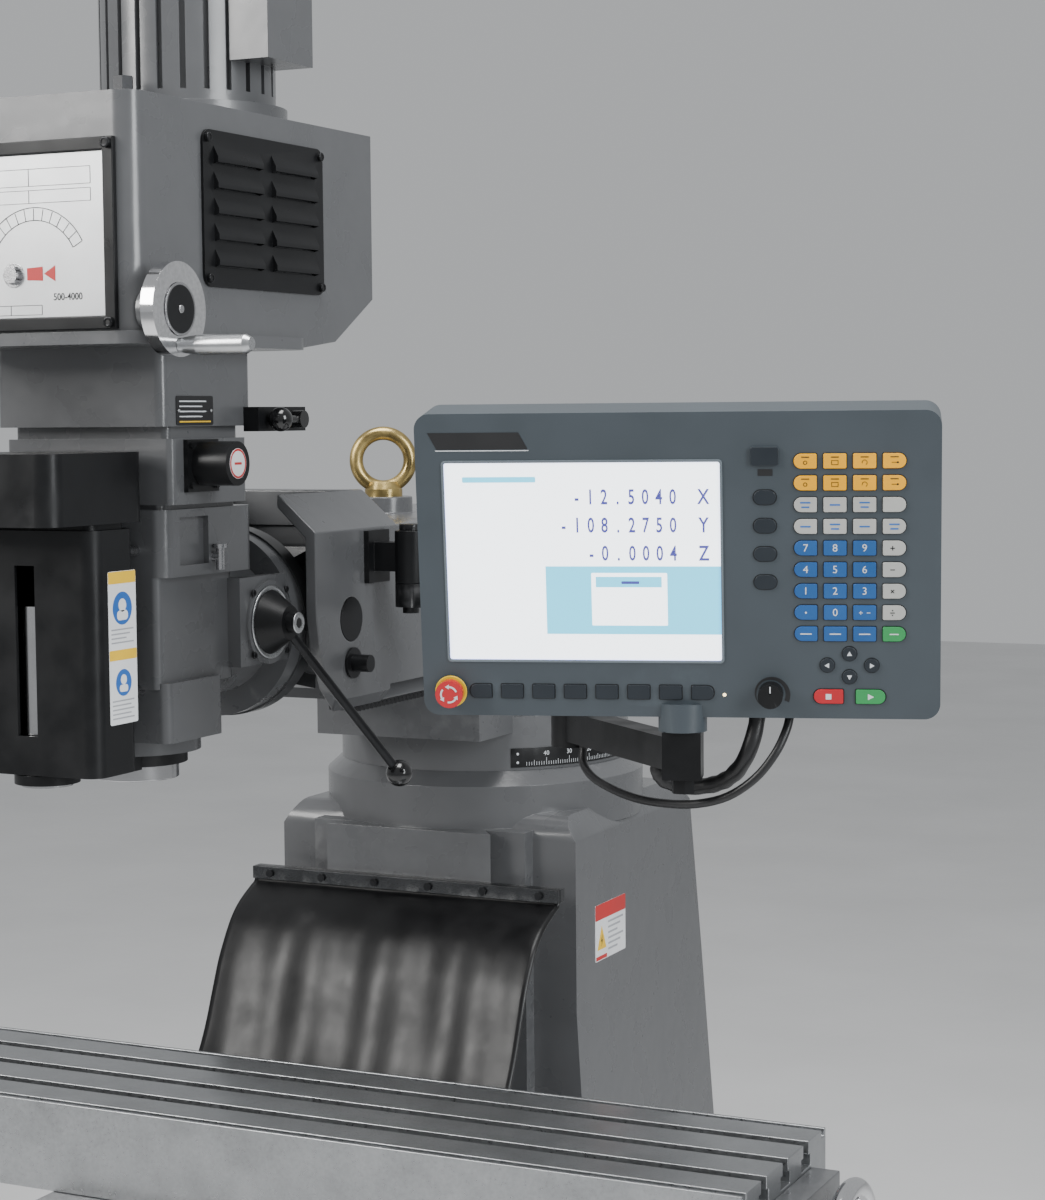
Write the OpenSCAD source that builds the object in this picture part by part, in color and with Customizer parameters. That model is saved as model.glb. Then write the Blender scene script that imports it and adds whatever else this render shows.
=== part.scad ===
// Turret knee mill: the quill axis hangs in front of the column on a sliding ram.
// Millimetres. X is the machine's right, -Y its front, Z up. The turret turns about X = 0, Y = 0.

/* [Overall] */
// Reach of the spindle axis in front of the turret axis
reach = 809; // [790:1:840]
// Height of the turret seat on the column
column_h = 1175; // [1170:1:1180]
// Width of the base casting
base_w = 580; // [520:5:700]
// Length of the base casting to the front of the turret axis
base_front = 640; // [600:5:760]

/* [Table] */
// Length of the work table
table_l = 1270; // [1000:10:1400]
// Width of the work table
table_w = 254; // [230:2:280]
// Width of the T-slot throats
slot_w = 16; // [12:1:18]

/* [Turret and ram] */
// Radius of the turret
turret_r = 190; // [180:1:200]
// Length of the ram behind the nod axis
ram_l = 1000; // [900:10:1100]
// Outside diameter of the lifting eye
eye_d = 82; // [70:1:90]

/* [Head] */
// Radius of the quill
quill_r = 43; // [40:0.5:44]
// Height of the belt housing
housing_h = 235; // [200:5:280]
// Radius of the motor
motor_r = 92; // [70:1:100]
// Length of the motor
motor_l = 220; // [180:5:260]
// Length of the quill feed lever
lever_l = 200; // [170:5:210]

/* [Console] */
// Width of the control console
console_w = 464; // [440:2:480]
// Height of the control console
console_h = 276; // [270:1:300]
// Depth of the control console
console_d = 62; // [50:1:80]

/* [Hidden] */
$fn = 64;
eps = 0.05;
fit = 0.05;
way_fit = 0.15;
sy = -809;
strip_z = column_h - 129;
base_h = 150;
tray = 20;
screw_y = -430;
ring_r = turret_r + 19;
turret_h = 68;
top = column_h + turret_h;
turret_z = 1243;
ram_z = turret_z + 77;
nod_y = -577;
nod_z = 1400;
tilt_y = -640;
housing_z = 1690;
housing_w = 130;
housing_f = sy - 177;
housing_b = -530;
hz_top = housing_z + housing_h;
motor_y = sy + motor_r + 27;
knee_w = 155;
knee_z0 = 360;
knee_z1 = 660;
saddle_y = -610;
saddle_l = 330;
saddle_w = 175;
ledge_z = 770;
table_z = 870;
screw_z = 787;
hub_y = -702;
hub_z = 1406;
ball_s = [180, -578, 1236];
bar_p = [170, -524];
bend = [285, -524];
elbow = [440, -694];
pivot = [624, -856];
face_c = [630, -886, 1485];
face_yaw = 16.8;
face_tilt = 8;
cable_d = 8;
cable_pts = [[461, -712, 1297.6], [461, -712.5, 1290], [465, -721, 1278], [484, -740, 1268],
    [516, -766, 1262], [552, -792, 1259], [590, -814, 1260], [626, -830, 1264], [660, -838, 1274],
    [686, -836, 1292], [702, -828, 1314], [709, -818, 1334], [711, -812, 1349]];
conduit_d = 16;
conduit_pts = [[586.5, -823, 1297.6], [586.7, -823, 1291], [591, -819, 1283], [601, -814, 1278.5],
    [615, -811, 1277], [632, -812, 1279], [649, -817, 1285], [663, -823, 1295], [673, -827, 1308],
    [679, -827, 1322], [682, -824, 1336], [683, -821, 1349]];

// The ram, head and console are drawn for this axis and seat, and moved with the reach and the column
module lead() {
    translate([0, -reach - sy, column_h + turret_h - turret_z]) children();
}

module box(a, b) {
    translate(a) cube([b[0] - a[0], b[1] - a[1], b[2] - a[2]]);
}

module rr(x0, y0, x1, y1, r) {
    translate([x0 + r, y0]) square([x1 - x0 - 2 * r, y1 - y0]);
    translate([x0, y0 + r]) square([x1 - x0, y1 - y0 - 2 * r]);
    for (x = [x0 + r, x1 - r], y = [y0 + r, y1 - r])
        translate([x, y]) circle(r);
}

module slab(x0, y0, x1, y1, z0, z1, r) {
    translate([0, 0, z0]) linear_extrude(z1 - z0) rr(x0, y0, x1, y1, r);
}

module side(w, pts) {
    translate([-w, 0, 0]) rotate([90, 0, 90]) linear_extrude(2 * w) polygon(pts);
}

module front(y0, y1, pts) {
    translate([0, y1, 0]) rotate([90, 0, 0]) linear_extrude(y1 - y0) polygon(pts);
}

module rod_x(x0, x1, y, z, r) {
    translate([x0, y, z]) rotate([0, 90, 0]) cylinder(h = x1 - x0, r = r);
}

module rod_y(y0, y1, x, z, r) {
    translate([x, y1, z]) rotate([90, 0, 0]) cylinder(h = y1 - y0, r = r);
}

module rod_z(z0, z1, x, y, r) {
    translate([x, y, z0]) cylinder(h = z1 - z0, r = r);
}

module hex_z(z0, z1, x, y, r) {
    translate([x, y, z0]) linear_extrude(z1 - z0)
        polygon([for (i = [0:5]) [r * cos(60 * i), r * sin(60 * i)]]);
}

function arc(cx, cy, r, a0, a1, n) = [for (i = [0:n]) [cx + r * cos(a0 + (a1 - a0) * i / n),
    cy + r * sin(a0 + (a1 - a0) * i / n)]];

// ---------- base and column ----------
module base_casting() color([0.3, 0.31, 0.32]) difference() {
    slab(-base_w / 2, -base_front, base_w / 2, 320, 0, base_h, 40);
    slab(-base_w / 2 + 22, -base_front + 22, base_w / 2 - 22, -230, base_h - tray, base_h + 1, 24);
    for (s = [-1, 1]) {
        box([min(s * 12, s * (base_w / 2 - 60)), -base_front + 70, -1],
            [max(s * 12, s * (base_w / 2 - 60)), -30, base_h - 45]);
        box([min(s * 12, s * (base_w / 2 - 60)), 30, -1],
            [max(s * 12, s * (base_w / 2 - 60)), 260, base_h - 45]);
        for (y = [-base_front + 35, 285]) rod_z(-1, base_h + 1, s * (base_w / 2 - 35), y, 11);
    }
    rod_z(-1, base_h, 0, screw_y, 30);
}

module column_outline(g) {
    intersection() {
        side(300, concat([[-174 + g, base_h], [-174 + g, column_h - 82 - g]],
            arc(-144, column_h - 82 - g, 30 - g, 180, 90, 5),
            [[180 - g, column_h - 52 - g], [208 - g, column_h - 78 - g], [251 - g, 880], [285 - g, base_h]]));
        front(-300, 300, [[-250 + g, base_h], [-209 + g, 880], [-209 + g, column_h - 82],
            [-189 + g, column_h - 52 - g], [189 - g, column_h - 52 - g], [209 - g, column_h - 82],
            [209 - g, 880], [250 - g, base_h]]);
    }
}

module column_casting() color([0.3, 0.31, 0.32]) {
    difference() {
        union() {
            column_outline(0);
            box([-150, -195, base_h], [150, -170, column_h - 70]);
            translate([0, 0, base_h]) linear_extrude(column_h - 70 - base_h)
                polygon([[-95, -190], [95, -190], [95, -195], [116, -223], [-116, -223], [-95, -195]]);
            rod_z(column_h - 75, column_h - 17, 0, 0, ring_r);
            translate([0, 0, column_h - 17]) cylinder(h = 17, r1 = ring_r, r2 = turret_r);
        }
        intersection() {
            column_outline(24);
            box([-300, -150, base_h - 1], [300, 300, column_h - 90]);
        }
        rod_z(column_h - 95, column_h + 1, 0, 0, 60 + fit);
    }
}

module elevating_nut() color([0.35, 0.36, 0.37]) difference() {
    union() {
        rod_z(base_h - tray, base_h - 4, 0, screw_y, 72);
        rod_z(base_h - 5, 440, 0, screw_y, 45);
    }
    rod_z(0, 500, 0, screw_y, 16 + fit);
}

module way_strip() color([0.6, 0.6, 0.6]) {
    box([-216, -235, strip_z - 16], [216, -223, strip_z]);
    box([-216, -241, strip_z - 16], [216, -238, strip_z]);
}

module way_strip_screws() color([0.25, 0.25, 0.26])
    for (x = [-190, -114, -38, 38, 114, 190]) rod_y(-244, -241, x, strip_z - 8, 5);

cover_drop = strip_z - 771.5;
cover_line = [for (p = [[-236.5, 1], [-236.5, 0.9326], [-248.5, 0.9075], [-267, 0.875], [-285, 0.834],
    [-301, 0.778], [-316, 0.7], [-330, 0.612], [-345, 0.485], [-362, 0.34], [-382, 0.213], [-405, 0.104],
    [-425, 0.031], [-440, 0], [-462, 0]]) [p[0], 771.5 + cover_drop * p[1]]];
function perp(p, q) = let (d = q - p) [-d[1], d[0]] / norm(d);
function edge_at(l, i, t) = let (a = i > 0 ? perp(l[i - 1], l[i]) : perp(l[0], l[1]),
    b = i < len(l) - 1 ? perp(l[i], l[i + 1]) : a, m = (a + b) / norm(a + b)) l[i] + m * t;
module way_cover() color([0.07, 0.07, 0.07])
    side(216, concat([for (i = [0:len(cover_line) - 1]) edge_at(cover_line, i, 1.45)],
        [for (i = [len(cover_line) - 1:-1:0]) edge_at(cover_line, i, -1.45)]));

// ---------- knee, saddle and table ----------
module knee_casting() color([0.3, 0.31, 0.32]) difference() {
    union() {
        side(knee_w, [[-195.4, knee_z0], [-195.4, knee_z1], [-860, knee_z1], [-860, 520], [-500, knee_z0]]);
        front(-860, -245, [[-110, knee_z1 - 1], [-110, knee_z1], [-133, knee_z1 + 40], [133, knee_z1 + 40],
            [110, knee_z1], [110, knee_z1 - 1]]);
    }
    translate([0, 0, knee_z0 - 1]) linear_extrude(342)
        polygon([[-95 - 0.4, -195], [95 + 0.4, -195], [116 + 0.4, -223.3], [-116 - 0.4, -223.3]]);
    box([-100, -560, knee_z0 - 1], [100, -300, 630]);
    rod_y(-861, -800, 0, 600, 12 + fit);
    rod_x(-156, -110, -560, 560, 12 + fit);
}

module elevating_screw() color([0.6, 0.6, 0.61]) {
    rod_z(105, 600, 0, screw_y, 16);
    rod_z(598, 629.9, 0, screw_y, 32);
}

module knee_crank() color([0.2, 0.2, 0.21]) {
    rod_x(-205, -120, -560, 560, 12);
    rod_x(-222, -200, -560, 560, 24);
    box([-218, -574, 560 - 120], [-206, -546, 560]);
    rod_x(-218, -206, -560, 440, 14);
    rod_x(-300, -210, -560, 440, 11);
}

module saddle_casting() color([0.3, 0.31, 0.32]) difference() {
    union() {
        box([-saddle_w, saddle_y - saddle_l / 2, knee_z1 + 0.3],
            [saddle_w, saddle_y + saddle_l / 2, ledge_z]);
        side(saddle_w, [[saddle_y - 80, ledge_z - 1], [saddle_y - 80, ledge_z], [saddle_y - 95, ledge_z + 34],
            [saddle_y + 95, ledge_z + 34], [saddle_y + 80, ledge_z], [saddle_y + 80, ledge_z - 1]]);
    }
    front(saddle_y - 200, saddle_y + 200, [[-110 - 0.4, knee_z1 - 1], [-110 - 0.4, knee_z1],
        [-133 - 0.4, knee_z1 + 40.3], [133 + 0.4, knee_z1 + 40.3], [110 + 0.4, knee_z1],
        [110 + 0.4, knee_z1 - 1]]);
    rod_x(-saddle_w - 1, saddle_w + 1, saddle_y, screw_z, 12 + fit);
}

module cross_screw() color([0.62, 0.62, 0.63]) rod_y(-905, -802, 0, 600, 12);

module cross_wheel() color([0.72, 0.72, 0.73]) {
    difference() {
        union() {
            rod_y(-900, -868, 0, 600, 24);
            rod_y(-894, -880, 0, 600, 62);
            translate([0, -887, 600]) rotate([90, 0, 0]) rotate_extrude() translate([62, 0]) circle(10);
        }
        rod_y(-901, -867, 0, 600, 12);
        for (a = [0:120:240]) rod_y(-895, -879, 42 * cos(a + 60), 600 + 42 * sin(a + 60), 13);
    }
    rod_y(-970, -893, 0, 546, 9);
}

module t_slot(y) {
    box([-table_l / 2 - 1, y - slot_w / 2, table_z - 14], [table_l / 2 + 1, y + slot_w / 2, table_z + 1]);
    box([-table_l / 2 - 1, y - slot_w / 2 - 6, table_z - 27],
        [table_l / 2 + 1, y + slot_w / 2 + 6, table_z - 14]);
}

module table() color([0.55, 0.56, 0.56]) difference() {
    box([-table_l / 2, saddle_y - table_w / 2, ledge_z + 0.3],
        [table_l / 2, saddle_y + table_w / 2, table_z]);
    side(table_l / 2 + 1, [[saddle_y - 80.4, ledge_z], [saddle_y - 95.4, ledge_z + 34.3],
        [saddle_y + 95.4, ledge_z + 34.3], [saddle_y + 80.4, ledge_z]]);
    for (y = [-63.5, 0, 63.5]) t_slot(saddle_y + y);
    for (s = [-1, 1]) box([-table_l / 2 - 1, saddle_y + s * (table_w / 2 - 9) - 4.5, table_z - 8],
        [table_l / 2 + 1, saddle_y + s * (table_w / 2 - 9) + 4.5, table_z + 1]);
}

module table_brackets() color([0.3, 0.31, 0.32]) for (s = [-1, 1]) difference() {
    union() {
        box([min(s * table_l / 2, s * (table_l / 2 + 30)), saddle_y - 85, screw_z - 40],
            [max(s * table_l / 2, s * (table_l / 2 + 30)), saddle_y + 85, table_z - 30]);
        rod_x(min(s * (table_l / 2 + 29), s * (table_l / 2 + 48)), max(s * (table_l / 2 + 29),
            s * (table_l / 2 + 48)), saddle_y, screw_z, 34);
    }
    rod_x(min(s * (table_l / 2 - 1), s * (table_l / 2 + 60)), max(s * (table_l / 2 - 1),
        s * (table_l / 2 + 60)), saddle_y, screw_z, 12 + fit);
}

module table_screw() color([0.62, 0.62, 0.63])
    rod_x(-table_l / 2 - 90, table_l / 2 + 90, saddle_y, screw_z, 12);

module table_wheels() color([0.72, 0.72, 0.73]) for (s = [-1, 1]) {
    x0 = table_l / 2 + 54;
    translate([s * x0, saddle_y, screw_z]) rotate([0, 90 * s, 0]) difference() {
        union() {
            cylinder(h = 32, r = 24);
            translate([0, 0, 8]) cylinder(h = 13, r = 62);
            translate([0, 0, 14]) rotate_extrude() translate([62, 0]) circle(10);
        }
        translate([0, 0, -1]) cylinder(h = 40, r = 12);
        for (a = [60:120:300]) translate([42 * cos(a), 42 * sin(a), 0]) cylinder(h = 30, r = 13);
    }
    translate([s * (x0 + 18), saddle_y - 54, screw_z]) rotate([0, 90 * s, 0]) cylinder(h = 78, r = 9);
}

// ---------- turret and ram ----------
module turret_casting() color([0.3, 0.31, 0.32]) difference() {
    union() {
        rod_z(column_h + 0.1, top, 0, 0, turret_r);
        rod_z(column_h - 60, column_h + 1, 0, 0, 60);
        box([-114, -246, top - 20], [114, 246, top + 57]);
        rod_z(top - 30, top - 1, 0, 0, turret_r);
    }
    for (a = [45:90:315]) rod_z(top - 6, top + 1, (turret_r - 35) * cos(a), (turret_r - 35) * sin(a), 20);
    box([46, -247, top + 35], [92, 247, top + 78]);
}

module degree_scale() color([0.06, 0.06, 0.06]) translate([0, 0, column_h + 4])
    rotate([0, 0, -54]) rotate_extrude(angle = 64) translate([turret_r, 0]) square([1.5, 24]);

module ram_gibs() color([0.34, 0.35, 0.36]) for (s = [-1, 1])
    front(-246, 246, [[s * 112.3, top + 57], [s * 100.6, top + 76.7], [s * 124, top + 76.7],
        [s * 124, top + 63], [s * 114, top + 57]]);

module ram_section(y0, y1) {
    front(y0, y1, [[-98, ram_z], [-125, ram_z], [-125, ram_z + 178], [-108, ram_z + 183],
        [108, ram_z + 183], [125, ram_z + 178], [125, ram_z], [98, ram_z], [109.3, ram_z - 19.7],
        [-109.3, ram_z - 19.7]]);
}

module cheek(s) {
    intersection() {
        front(-700, -490, [[s * 112, ram_z - 20], [s * 125, ram_z - 6], [s * 125, ram_z + 178],
            [s * 80, ram_z + 218], [s * 78, ram_z + 218], [s * 78, ram_z + 204], [s * 112, ram_z + 172]]);
        side(130, [[-653, 1410], [-653, 1540], [-490, 1540], [-490, ram_z - 20], [-600, ram_z - 20],
            [-628, ram_z + 8], [-646, ram_z + 50]]);
    }
}

module ram_casting() color([0.33, 0.34, 0.35]) lead() difference() {
    union() {
        difference() {
            ram_section(-500, nod_y + ram_l);
            box([-98, -400, ram_z + 20], [98, nod_y + ram_l - 25, ram_z + 155]);
            rod_x(-112, 112, nod_y, nod_z, 108);
        }
        for (s = [-1, 1]) cheek(s);
        front(-505, -470, [[-125, ram_z + 178], [-80, ram_z + 218], [80, ram_z + 218], [125, ram_z + 178]]);
        rod_z(ram_z + 180, ram_z + 203, 0, -273, 35);
    }
    box([48, -600, ram_z - 21], [90, nod_y + ram_l - 40, ram_z - 12]);
    rod_x(-130, 130, nod_y, nod_z, 24);
    rod_z(ram_z + 150, ram_z + 210, 0, -273, 12);
}

module ram_rack() color([0.3, 0.3, 0.31]) lead() translate([49, 0, 0]) rotate([90, 0, 90]) linear_extrude(40)
    polygon(concat([[nod_y + ram_l - 42, ram_z - 12], [-499, ram_z - 12]],
        [for (i = [0:93], p = [[0, -26], [2, -32], [4.5, -32], [6.5, -26]]) [-499 + 9.425 * i + p[0],
            ram_z + p[1]]], [[nod_y + ram_l - 42, ram_z - 26]]));

module eye_bolt() color([0.72, 0.6, 0.32]) lead() {
    rod_z(ram_z + 160, ram_z + 204, 0, -273, 12);
    rod_z(ram_z + 203, ram_z + 212, 0, -273, 23);
    translate([0, -273, ram_z + 212]) cylinder(h = 9, r1 = 22, r2 = 18);
    translate([0, -273, ram_z + 206 + eye_d / 2]) rotate([90, 0, 30]) rotate_extrude()
        translate([(eye_d - 16.5) / 2, 0]) circle(8.25);
}

module knuckle_bolts() color([0.08, 0.08, 0.08]) lead() {
    for (s = [-1, 1]) {
        rod_x(min(s * 125, s * 128), max(s * 125, s * 128), nod_y, 1352, 17);
        rod_x(min(s * 127, s * 148), max(s * 127, s * 148), nod_y, 1352, 9.5);
    }
    rod_x(-125, 125, nod_y, nod_z, 24);
}

module arm_bracket() color([0.07, 0.07, 0.07]) lead() {
    box([125, -548, 1437], [131, -500, 1495]);
    difference() {
        union() {
            box([130, bar_p[1] - 12, 1450], [bar_p[0], bar_p[1] + 12, 1482]);
            rod_z(1437, 1495, bar_p[0], bar_p[1], 17);
        }
        rod_z(1420, 1500, bar_p[0], bar_p[1], 8 + fit);
    }
}

module adapter_casting() color([0.12, 0.12, 0.13]) lead() difference() {
    union() {
        rod_x(-110, 110, nod_y, nod_z, 62);
        side(78, [[tilt_y + 1, 1335], [tilt_y + 1, 1465], [nod_y, 1478], [nod_y, 1322]]);
        rod_y(tilt_y, tilt_y + 22, 0, nod_z, 104);
    }
    rod_x(-115, 115, nod_y, nod_z, 24 + fit);
    rod_y(tilt_y - 1, tilt_y + 40, 0, nod_z, 30 + fit);
}

// ---------- head ----------
module head_casting() color([0.3, 0.31, 0.32]) lead() difference() {
    union() {
        rod_z(1281, 1304, 0, sy, 66);
        slab(-88, sy - 72, 88, sy + 31, 1298, 1358, 10);
        slab(-80, sy - 75, 80, sy + 63, 1352, 1463, 8);
        slab(-90, sy - 75, 90, sy + 92, 1463, 1530, 16);
        slab(-84, sy - 71, 84, sy + 66, 1529, 1536, 8);
        slab(-100, sy - 75, 100, sy + 64, 1535, 1600, 8);
        slab(-92, sy - 71, 92, sy + 60, 1599, 1613, 8);
        slab(-100, sy - 90, 100, sy + 74, 1612, housing_z, 10);
        box([-95, -757, 1363], [95, -741, 1455]);
        for (s = [-1, 1]) box([min(s * 80, s * 95), -757, 1363], [max(s * 80, s * 95), -664, 1455]);
        box([-82, -757, 1363], [82, -664, 1437]);
        rod_y(-746, -660, 0, nod_z, 76);
        rod_y(-662, tilt_y - 0.1, 0, nod_z, 102);
        rod_y(tilt_y - 1, tilt_y + 20, 0, nod_z, 30);
        rod_x(94, 98, hub_y, hub_z, 44);
    }
    rod_z(1280, 1606, 0, sy, quill_r + fit);
    rod_z(1600, housing_z + 1, 0, sy, 26);
    box([84, -858, 1474], [91, -806, 1522]);
    rod_x(60, 99, hub_y, hub_z, 12 + fit);
    rod_x(70, 91, -797, 1480, 5 + fit);
    for (s = [-1, 1], z = [1350, 1490]) rod_y(-885, -872, s * 55, z, 5);
    for (s = [-1, 1]) rod_y(-885, -872, s * 50, 1555, 5);
}

module belt_housing() color([0.32, 0.33, 0.34]) lead() difference() {
    union() {
        slab(-housing_w, housing_f, housing_w, -667, housing_z, hz_top, 22);
        slab(-housing_w - 4, housing_f - 4, housing_w + 4, -669, housing_z, housing_z + 12, 24);
        side(housing_w, [[-700, housing_z], [-613, housing_z + 10], [housing_b, housing_z + 58],
            [housing_b, hz_top], [-700, hz_top]]);
        rod_x(128, 144, housing_f + 23, 1721.6, 20);
    }
    slab(-housing_w + 12, housing_f + 12, housing_w - 12, -640, housing_z + 12, hz_top - 10, 14);
    rod_z(housing_z - 1, housing_z + 20, 0, sy, 26);
    rod_z(hz_top - 20, hz_top + 1, 0, sy, 20);
    rod_x(100, 150, housing_f + 23, 1721.6, 10 + fit);
}

module housing_frame() color([0.06, 0.06, 0.06]) lead() difference() {
    box([-112, housing_f - 6, 1704], [112, housing_f, 1882]);
    box([-100, housing_f - 7, 1716], [100, housing_f + 1, 1870]);
}

module nameplate() color([0.75, 0.76, 0.77]) lead() difference() {
    box([-99.5, housing_f - 2, 1716.5], [99.5, housing_f, 1869.5]);
    front(housing_f - 3, housing_f + 1, [[9.5, 1751.8], [27.6, 1750.9], [27.6, 1764.2], [9.5, 1763.2]]);
}

module vent_plate() color([0.06, 0.06, 0.06]) lead() {
    difference() {
        translate([130, 0, 0]) rotate([90, 0, 90]) linear_extrude(3) rr(-870, 1748, -640, 1900, 12);
        for (y = [-850, -742], z = [1768:25:1868]) box([129, y, z], [134, y + 82, z + 8]);
    }
    for (y = [-850, -742], z = [1768:25:1868]) {
        front(y, y + 82, [[132, z + 13], [132, z + 17], [133, z + 17], [138.5, z + 6], [138.5, z + 1],
            [137, z + 1], [137, z + 5]]);
        for (e = [y - 1.5, y + 82])
            front(e, e + 1.5, [[132, z - 1], [132, z + 17], [133, z + 17], [138.5, z + 6], [138.5, z + 1]]);
    }
}

module housing_screws() color([0.05, 0.05, 0.05]) lead() {
    for (x = [-106, 106], z = [1710, 1876]) rod_y(housing_f - 10, housing_f - 6, x, z, 5);
    rod_y(housing_f - 8, housing_f - 2, -6, 1757, 8);
    for (y = [-863, -647], z = [1756, 1892]) rod_x(133, 136, y, z, 4.5);
}

module motor() color([0.25, 0.26, 0.27]) lead() {
    rod_z(hz_top, hz_top + 18, 0, motor_y, motor_r + 12);
    difference() {
        rod_z(hz_top + 17, hz_top + motor_l, 0, motor_y, motor_r);
        for (a = [0:15:345]) translate([0, motor_y, hz_top + 30]) rotate([0, 0, a])
            translate([motor_r - 8, -3, 0]) cube([20, 6, motor_l - 42]);
    }
    box([motor_r - 12, motor_y - 45, hz_top + 60], [motor_r + 34, motor_y + 45, hz_top + 150]);
}

module fan_cover() color([0.08, 0.08, 0.08]) lead() difference() {
    union() {
        rod_z(hz_top + motor_l, hz_top + motor_l + 40, 0, motor_y, motor_r + 2);
        translate([0, motor_y, hz_top + motor_l + 40]) cylinder(h = 12, r1 = motor_r + 2, r2 = motor_r - 14);
    }
    for (x = [-3:3]) box([x * 18 - 3, motor_y - 50, hz_top + motor_l + 44],
        [x * 18 + 3, motor_y + 50, hz_top + motor_l + 53]);
}

module feed_cap() color([0.05, 0.05, 0.05]) lead() {
    box([100, -864, 1547], [105, -808, 1599]);
    rod_x(104, 145, -836, 1575, 22);
    for (a = [45:90:315]) rod_x(104, 108, -836 + 31 * cos(a), 1573 + 28 * sin(a), 3.2);
}

module range_bracket() color([0.05, 0.05, 0.05]) lead() difference() {
    box([100, -752, 1606], [118, -658, 1631]);
    rod_x(104, 119, -690, 1618, 4 + fit);
}

module range_lever() color([0.04, 0.04, 0.04]) lead() {
    rod_x(106, 119, -690, 1618, 4);
    rod_x(118.3, 136, -690, 1618, 9);
    rod_y(-724, -690, 131, 1618, 4);
    translate([131, -730, 1618]) sphere(12.5);
}

module cover_lower() color([0.06, 0.06, 0.06]) lead() difference() {
    slab(-78, -988, 78, -915, 1277, 1514, 16);
    slab(-74, -984, 74, -919, 1281, 1510, 12);
    rod_z(1276, 1282, -5, -955, 26);
    rod_z(1509, 1515, -5, -955, 8 + fit);
    box([-14, -990, 1315], [9, -983, 1480]);
}

module cover_upper() color([0.06, 0.06, 0.06]) lead() difference() {
    union() {
        slab(-80, -1055, 80, -898, 1520, 1588, 20);
        slab(-70, -980, 70, -920, 1514, 1521, 12);
    }
    slab(-76, -1051, 76, -902, 1524, 1584, 16);
    rod_z(1513, 1525, -5, -955, 18);
}

module cover_studs() color([0.55, 0.55, 0.56]) lead() {
    for (s = [-1, 1], z = [1350, 1490]) rod_y(-915, -872, s * 55, z, 5);
    for (s = [-1, 1]) rod_y(-898, -872, s * 50, 1555, 5);
}

// ---------- quill, spindle and feed screw ----------
module quill() color([0.78, 0.78, 0.79]) lead() difference() {
    rod_z(1252, 1560, 0, sy, quill_r);
    rod_z(1250, 1561, 0, sy, 30 + fit);
}

module quill_yoke() color([0.05, 0.05, 0.05]) lead() difference() {
    union() {
        rod_z(1268, 1280.7, 0, sy, quill_r + 9);
        rod_z(1266, 1276, -5, -955, 32);
        box([-24, -945, 1266], [14, -850, 1276]);
        box([30, -880, 1266], [34, -850, 1280]);
        box([14, -880, 1266], [34, -850, 1270]);
    }
    rod_z(1260, 1290, 0, sy, quill_r);
    rod_z(1260, 1290, -5, -955, 25);
}

module push_tube() color([0.8, 0.8, 0.81]) lead() difference() {
    rod_z(1263, 1440, -5, -955, 25);
    rod_z(1268, 1441, -5, -955, 8 + fit);
}

module ball_screw() color([0.7, 0.7, 0.71]) lead() {
    rod_z(1300, 1545, -5, -955, 8);
    rod_z(1514.4, 1534, -5, -955, 15);
}

module spindle() color([0.75, 0.75, 0.76]) lead() difference() {
    union() {
        rod_z(1250, 1558, 0, sy, 30);
        rod_z(1557, 1780, 0, sy, 20);
    }
    rod_z(1249, 1360, 0, sy, 12.065);
    translate([0, sy, 1249]) cylinder(h = 14, r1 = 16.2, r2 = 12.065);
    rod_z(1359, 1781, 0, sy, 6);
}

module drawbar() color([0.3, 0.3, 0.3]) lead() {
    rod_z(1366, hz_top + 26, 0, sy, 6);
    hex_z(hz_top + 25, hz_top + 40, 0, sy, 11);
}

// ---------- handles ----------
module speed_wheel() color([0.8, 0.8, 0.81]) lead() difference() {
    union() {
        rod_x(112, 151, housing_f + 23, 1721.6, 10);
        rod_x(150, 164, housing_f + 23, 1721.6, 44.5);
        rod_x(163, 165, housing_f + 23, 1721.6, 24);
    }
    rod_x(155, 170, housing_f + 23, 1688, 4 + fit);
}

module wheel_handle() color([0.5, 0.5, 0.51]) lead() {
    rod_x(156, 170, housing_f + 23, 1688, 4);
    translate([164.3, housing_f + 23, 1688]) rotate([0, 90, 0]) cylinder(h = 21, r1 = 7, r2 = 9.5);
    rod_x(185, 236, housing_f + 23, 1688, 9.5);
    translate([236, housing_f + 23, 1688]) rotate([0, 90, 0]) cylinder(h = 6, r1 = 9.5, r2 = 6);
}

lever_0 = [114, hub_y + 4, hub_z - 6];
lever_d = (ball_s - lever_0) / norm(ball_s - lever_0);
ball_c = lever_0 + lever_d * (lever_l + 17);
module along(p, d, l, r1, r2) {
    translate(p) rotate([0, acos(d[2]), atan2(d[1], d[0])]) cylinder(h = l, r1 = r1, r2 = r2);
}

module feed_hub() color([0.1, 0.1, 0.1]) lead() difference() {
    union() {
        rod_x(64, 99, hub_y, hub_z, 12);
        translate([98.3, hub_y, hub_z]) rotate([0, 90, 0]) cylinder(h = 24, r1 = 34, r2 = 18);
        rod_x(122, 132, hub_y, hub_z, 11);
    }
    along(lever_0, lever_d, 60, 5, 5);
}

module feed_rod() color([0.1, 0.1, 0.1]) lead() {
    along(lever_0, lever_d, lever_l + 8, 5, 5);
}

module feed_ball() color([0.04, 0.04, 0.04]) lead() difference() {
    translate(ball_c) sphere(14.5);
    along(lever_0, lever_d, lever_l + 8, 5, 5);
}

module quill_lock() color([0.7, 0.7, 0.7]) lead() {
    rod_x(72, 99, -797, 1480, 5);
    rod_z(1467, 1490, 98, -797, 4.5);
    rod_z(1489, 1493, 98, -797, 7);
}

// ---------- console arm ----------
module bar(p, q, w, z0, z1) {
    d = q - p;
    translate([p[0], p[1], z0]) rotate([0, 0, atan2(d[1], d[0])])
        translate([0, -w / 2, 0]) cube([norm(d), w, z1 - z0]);
}

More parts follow.
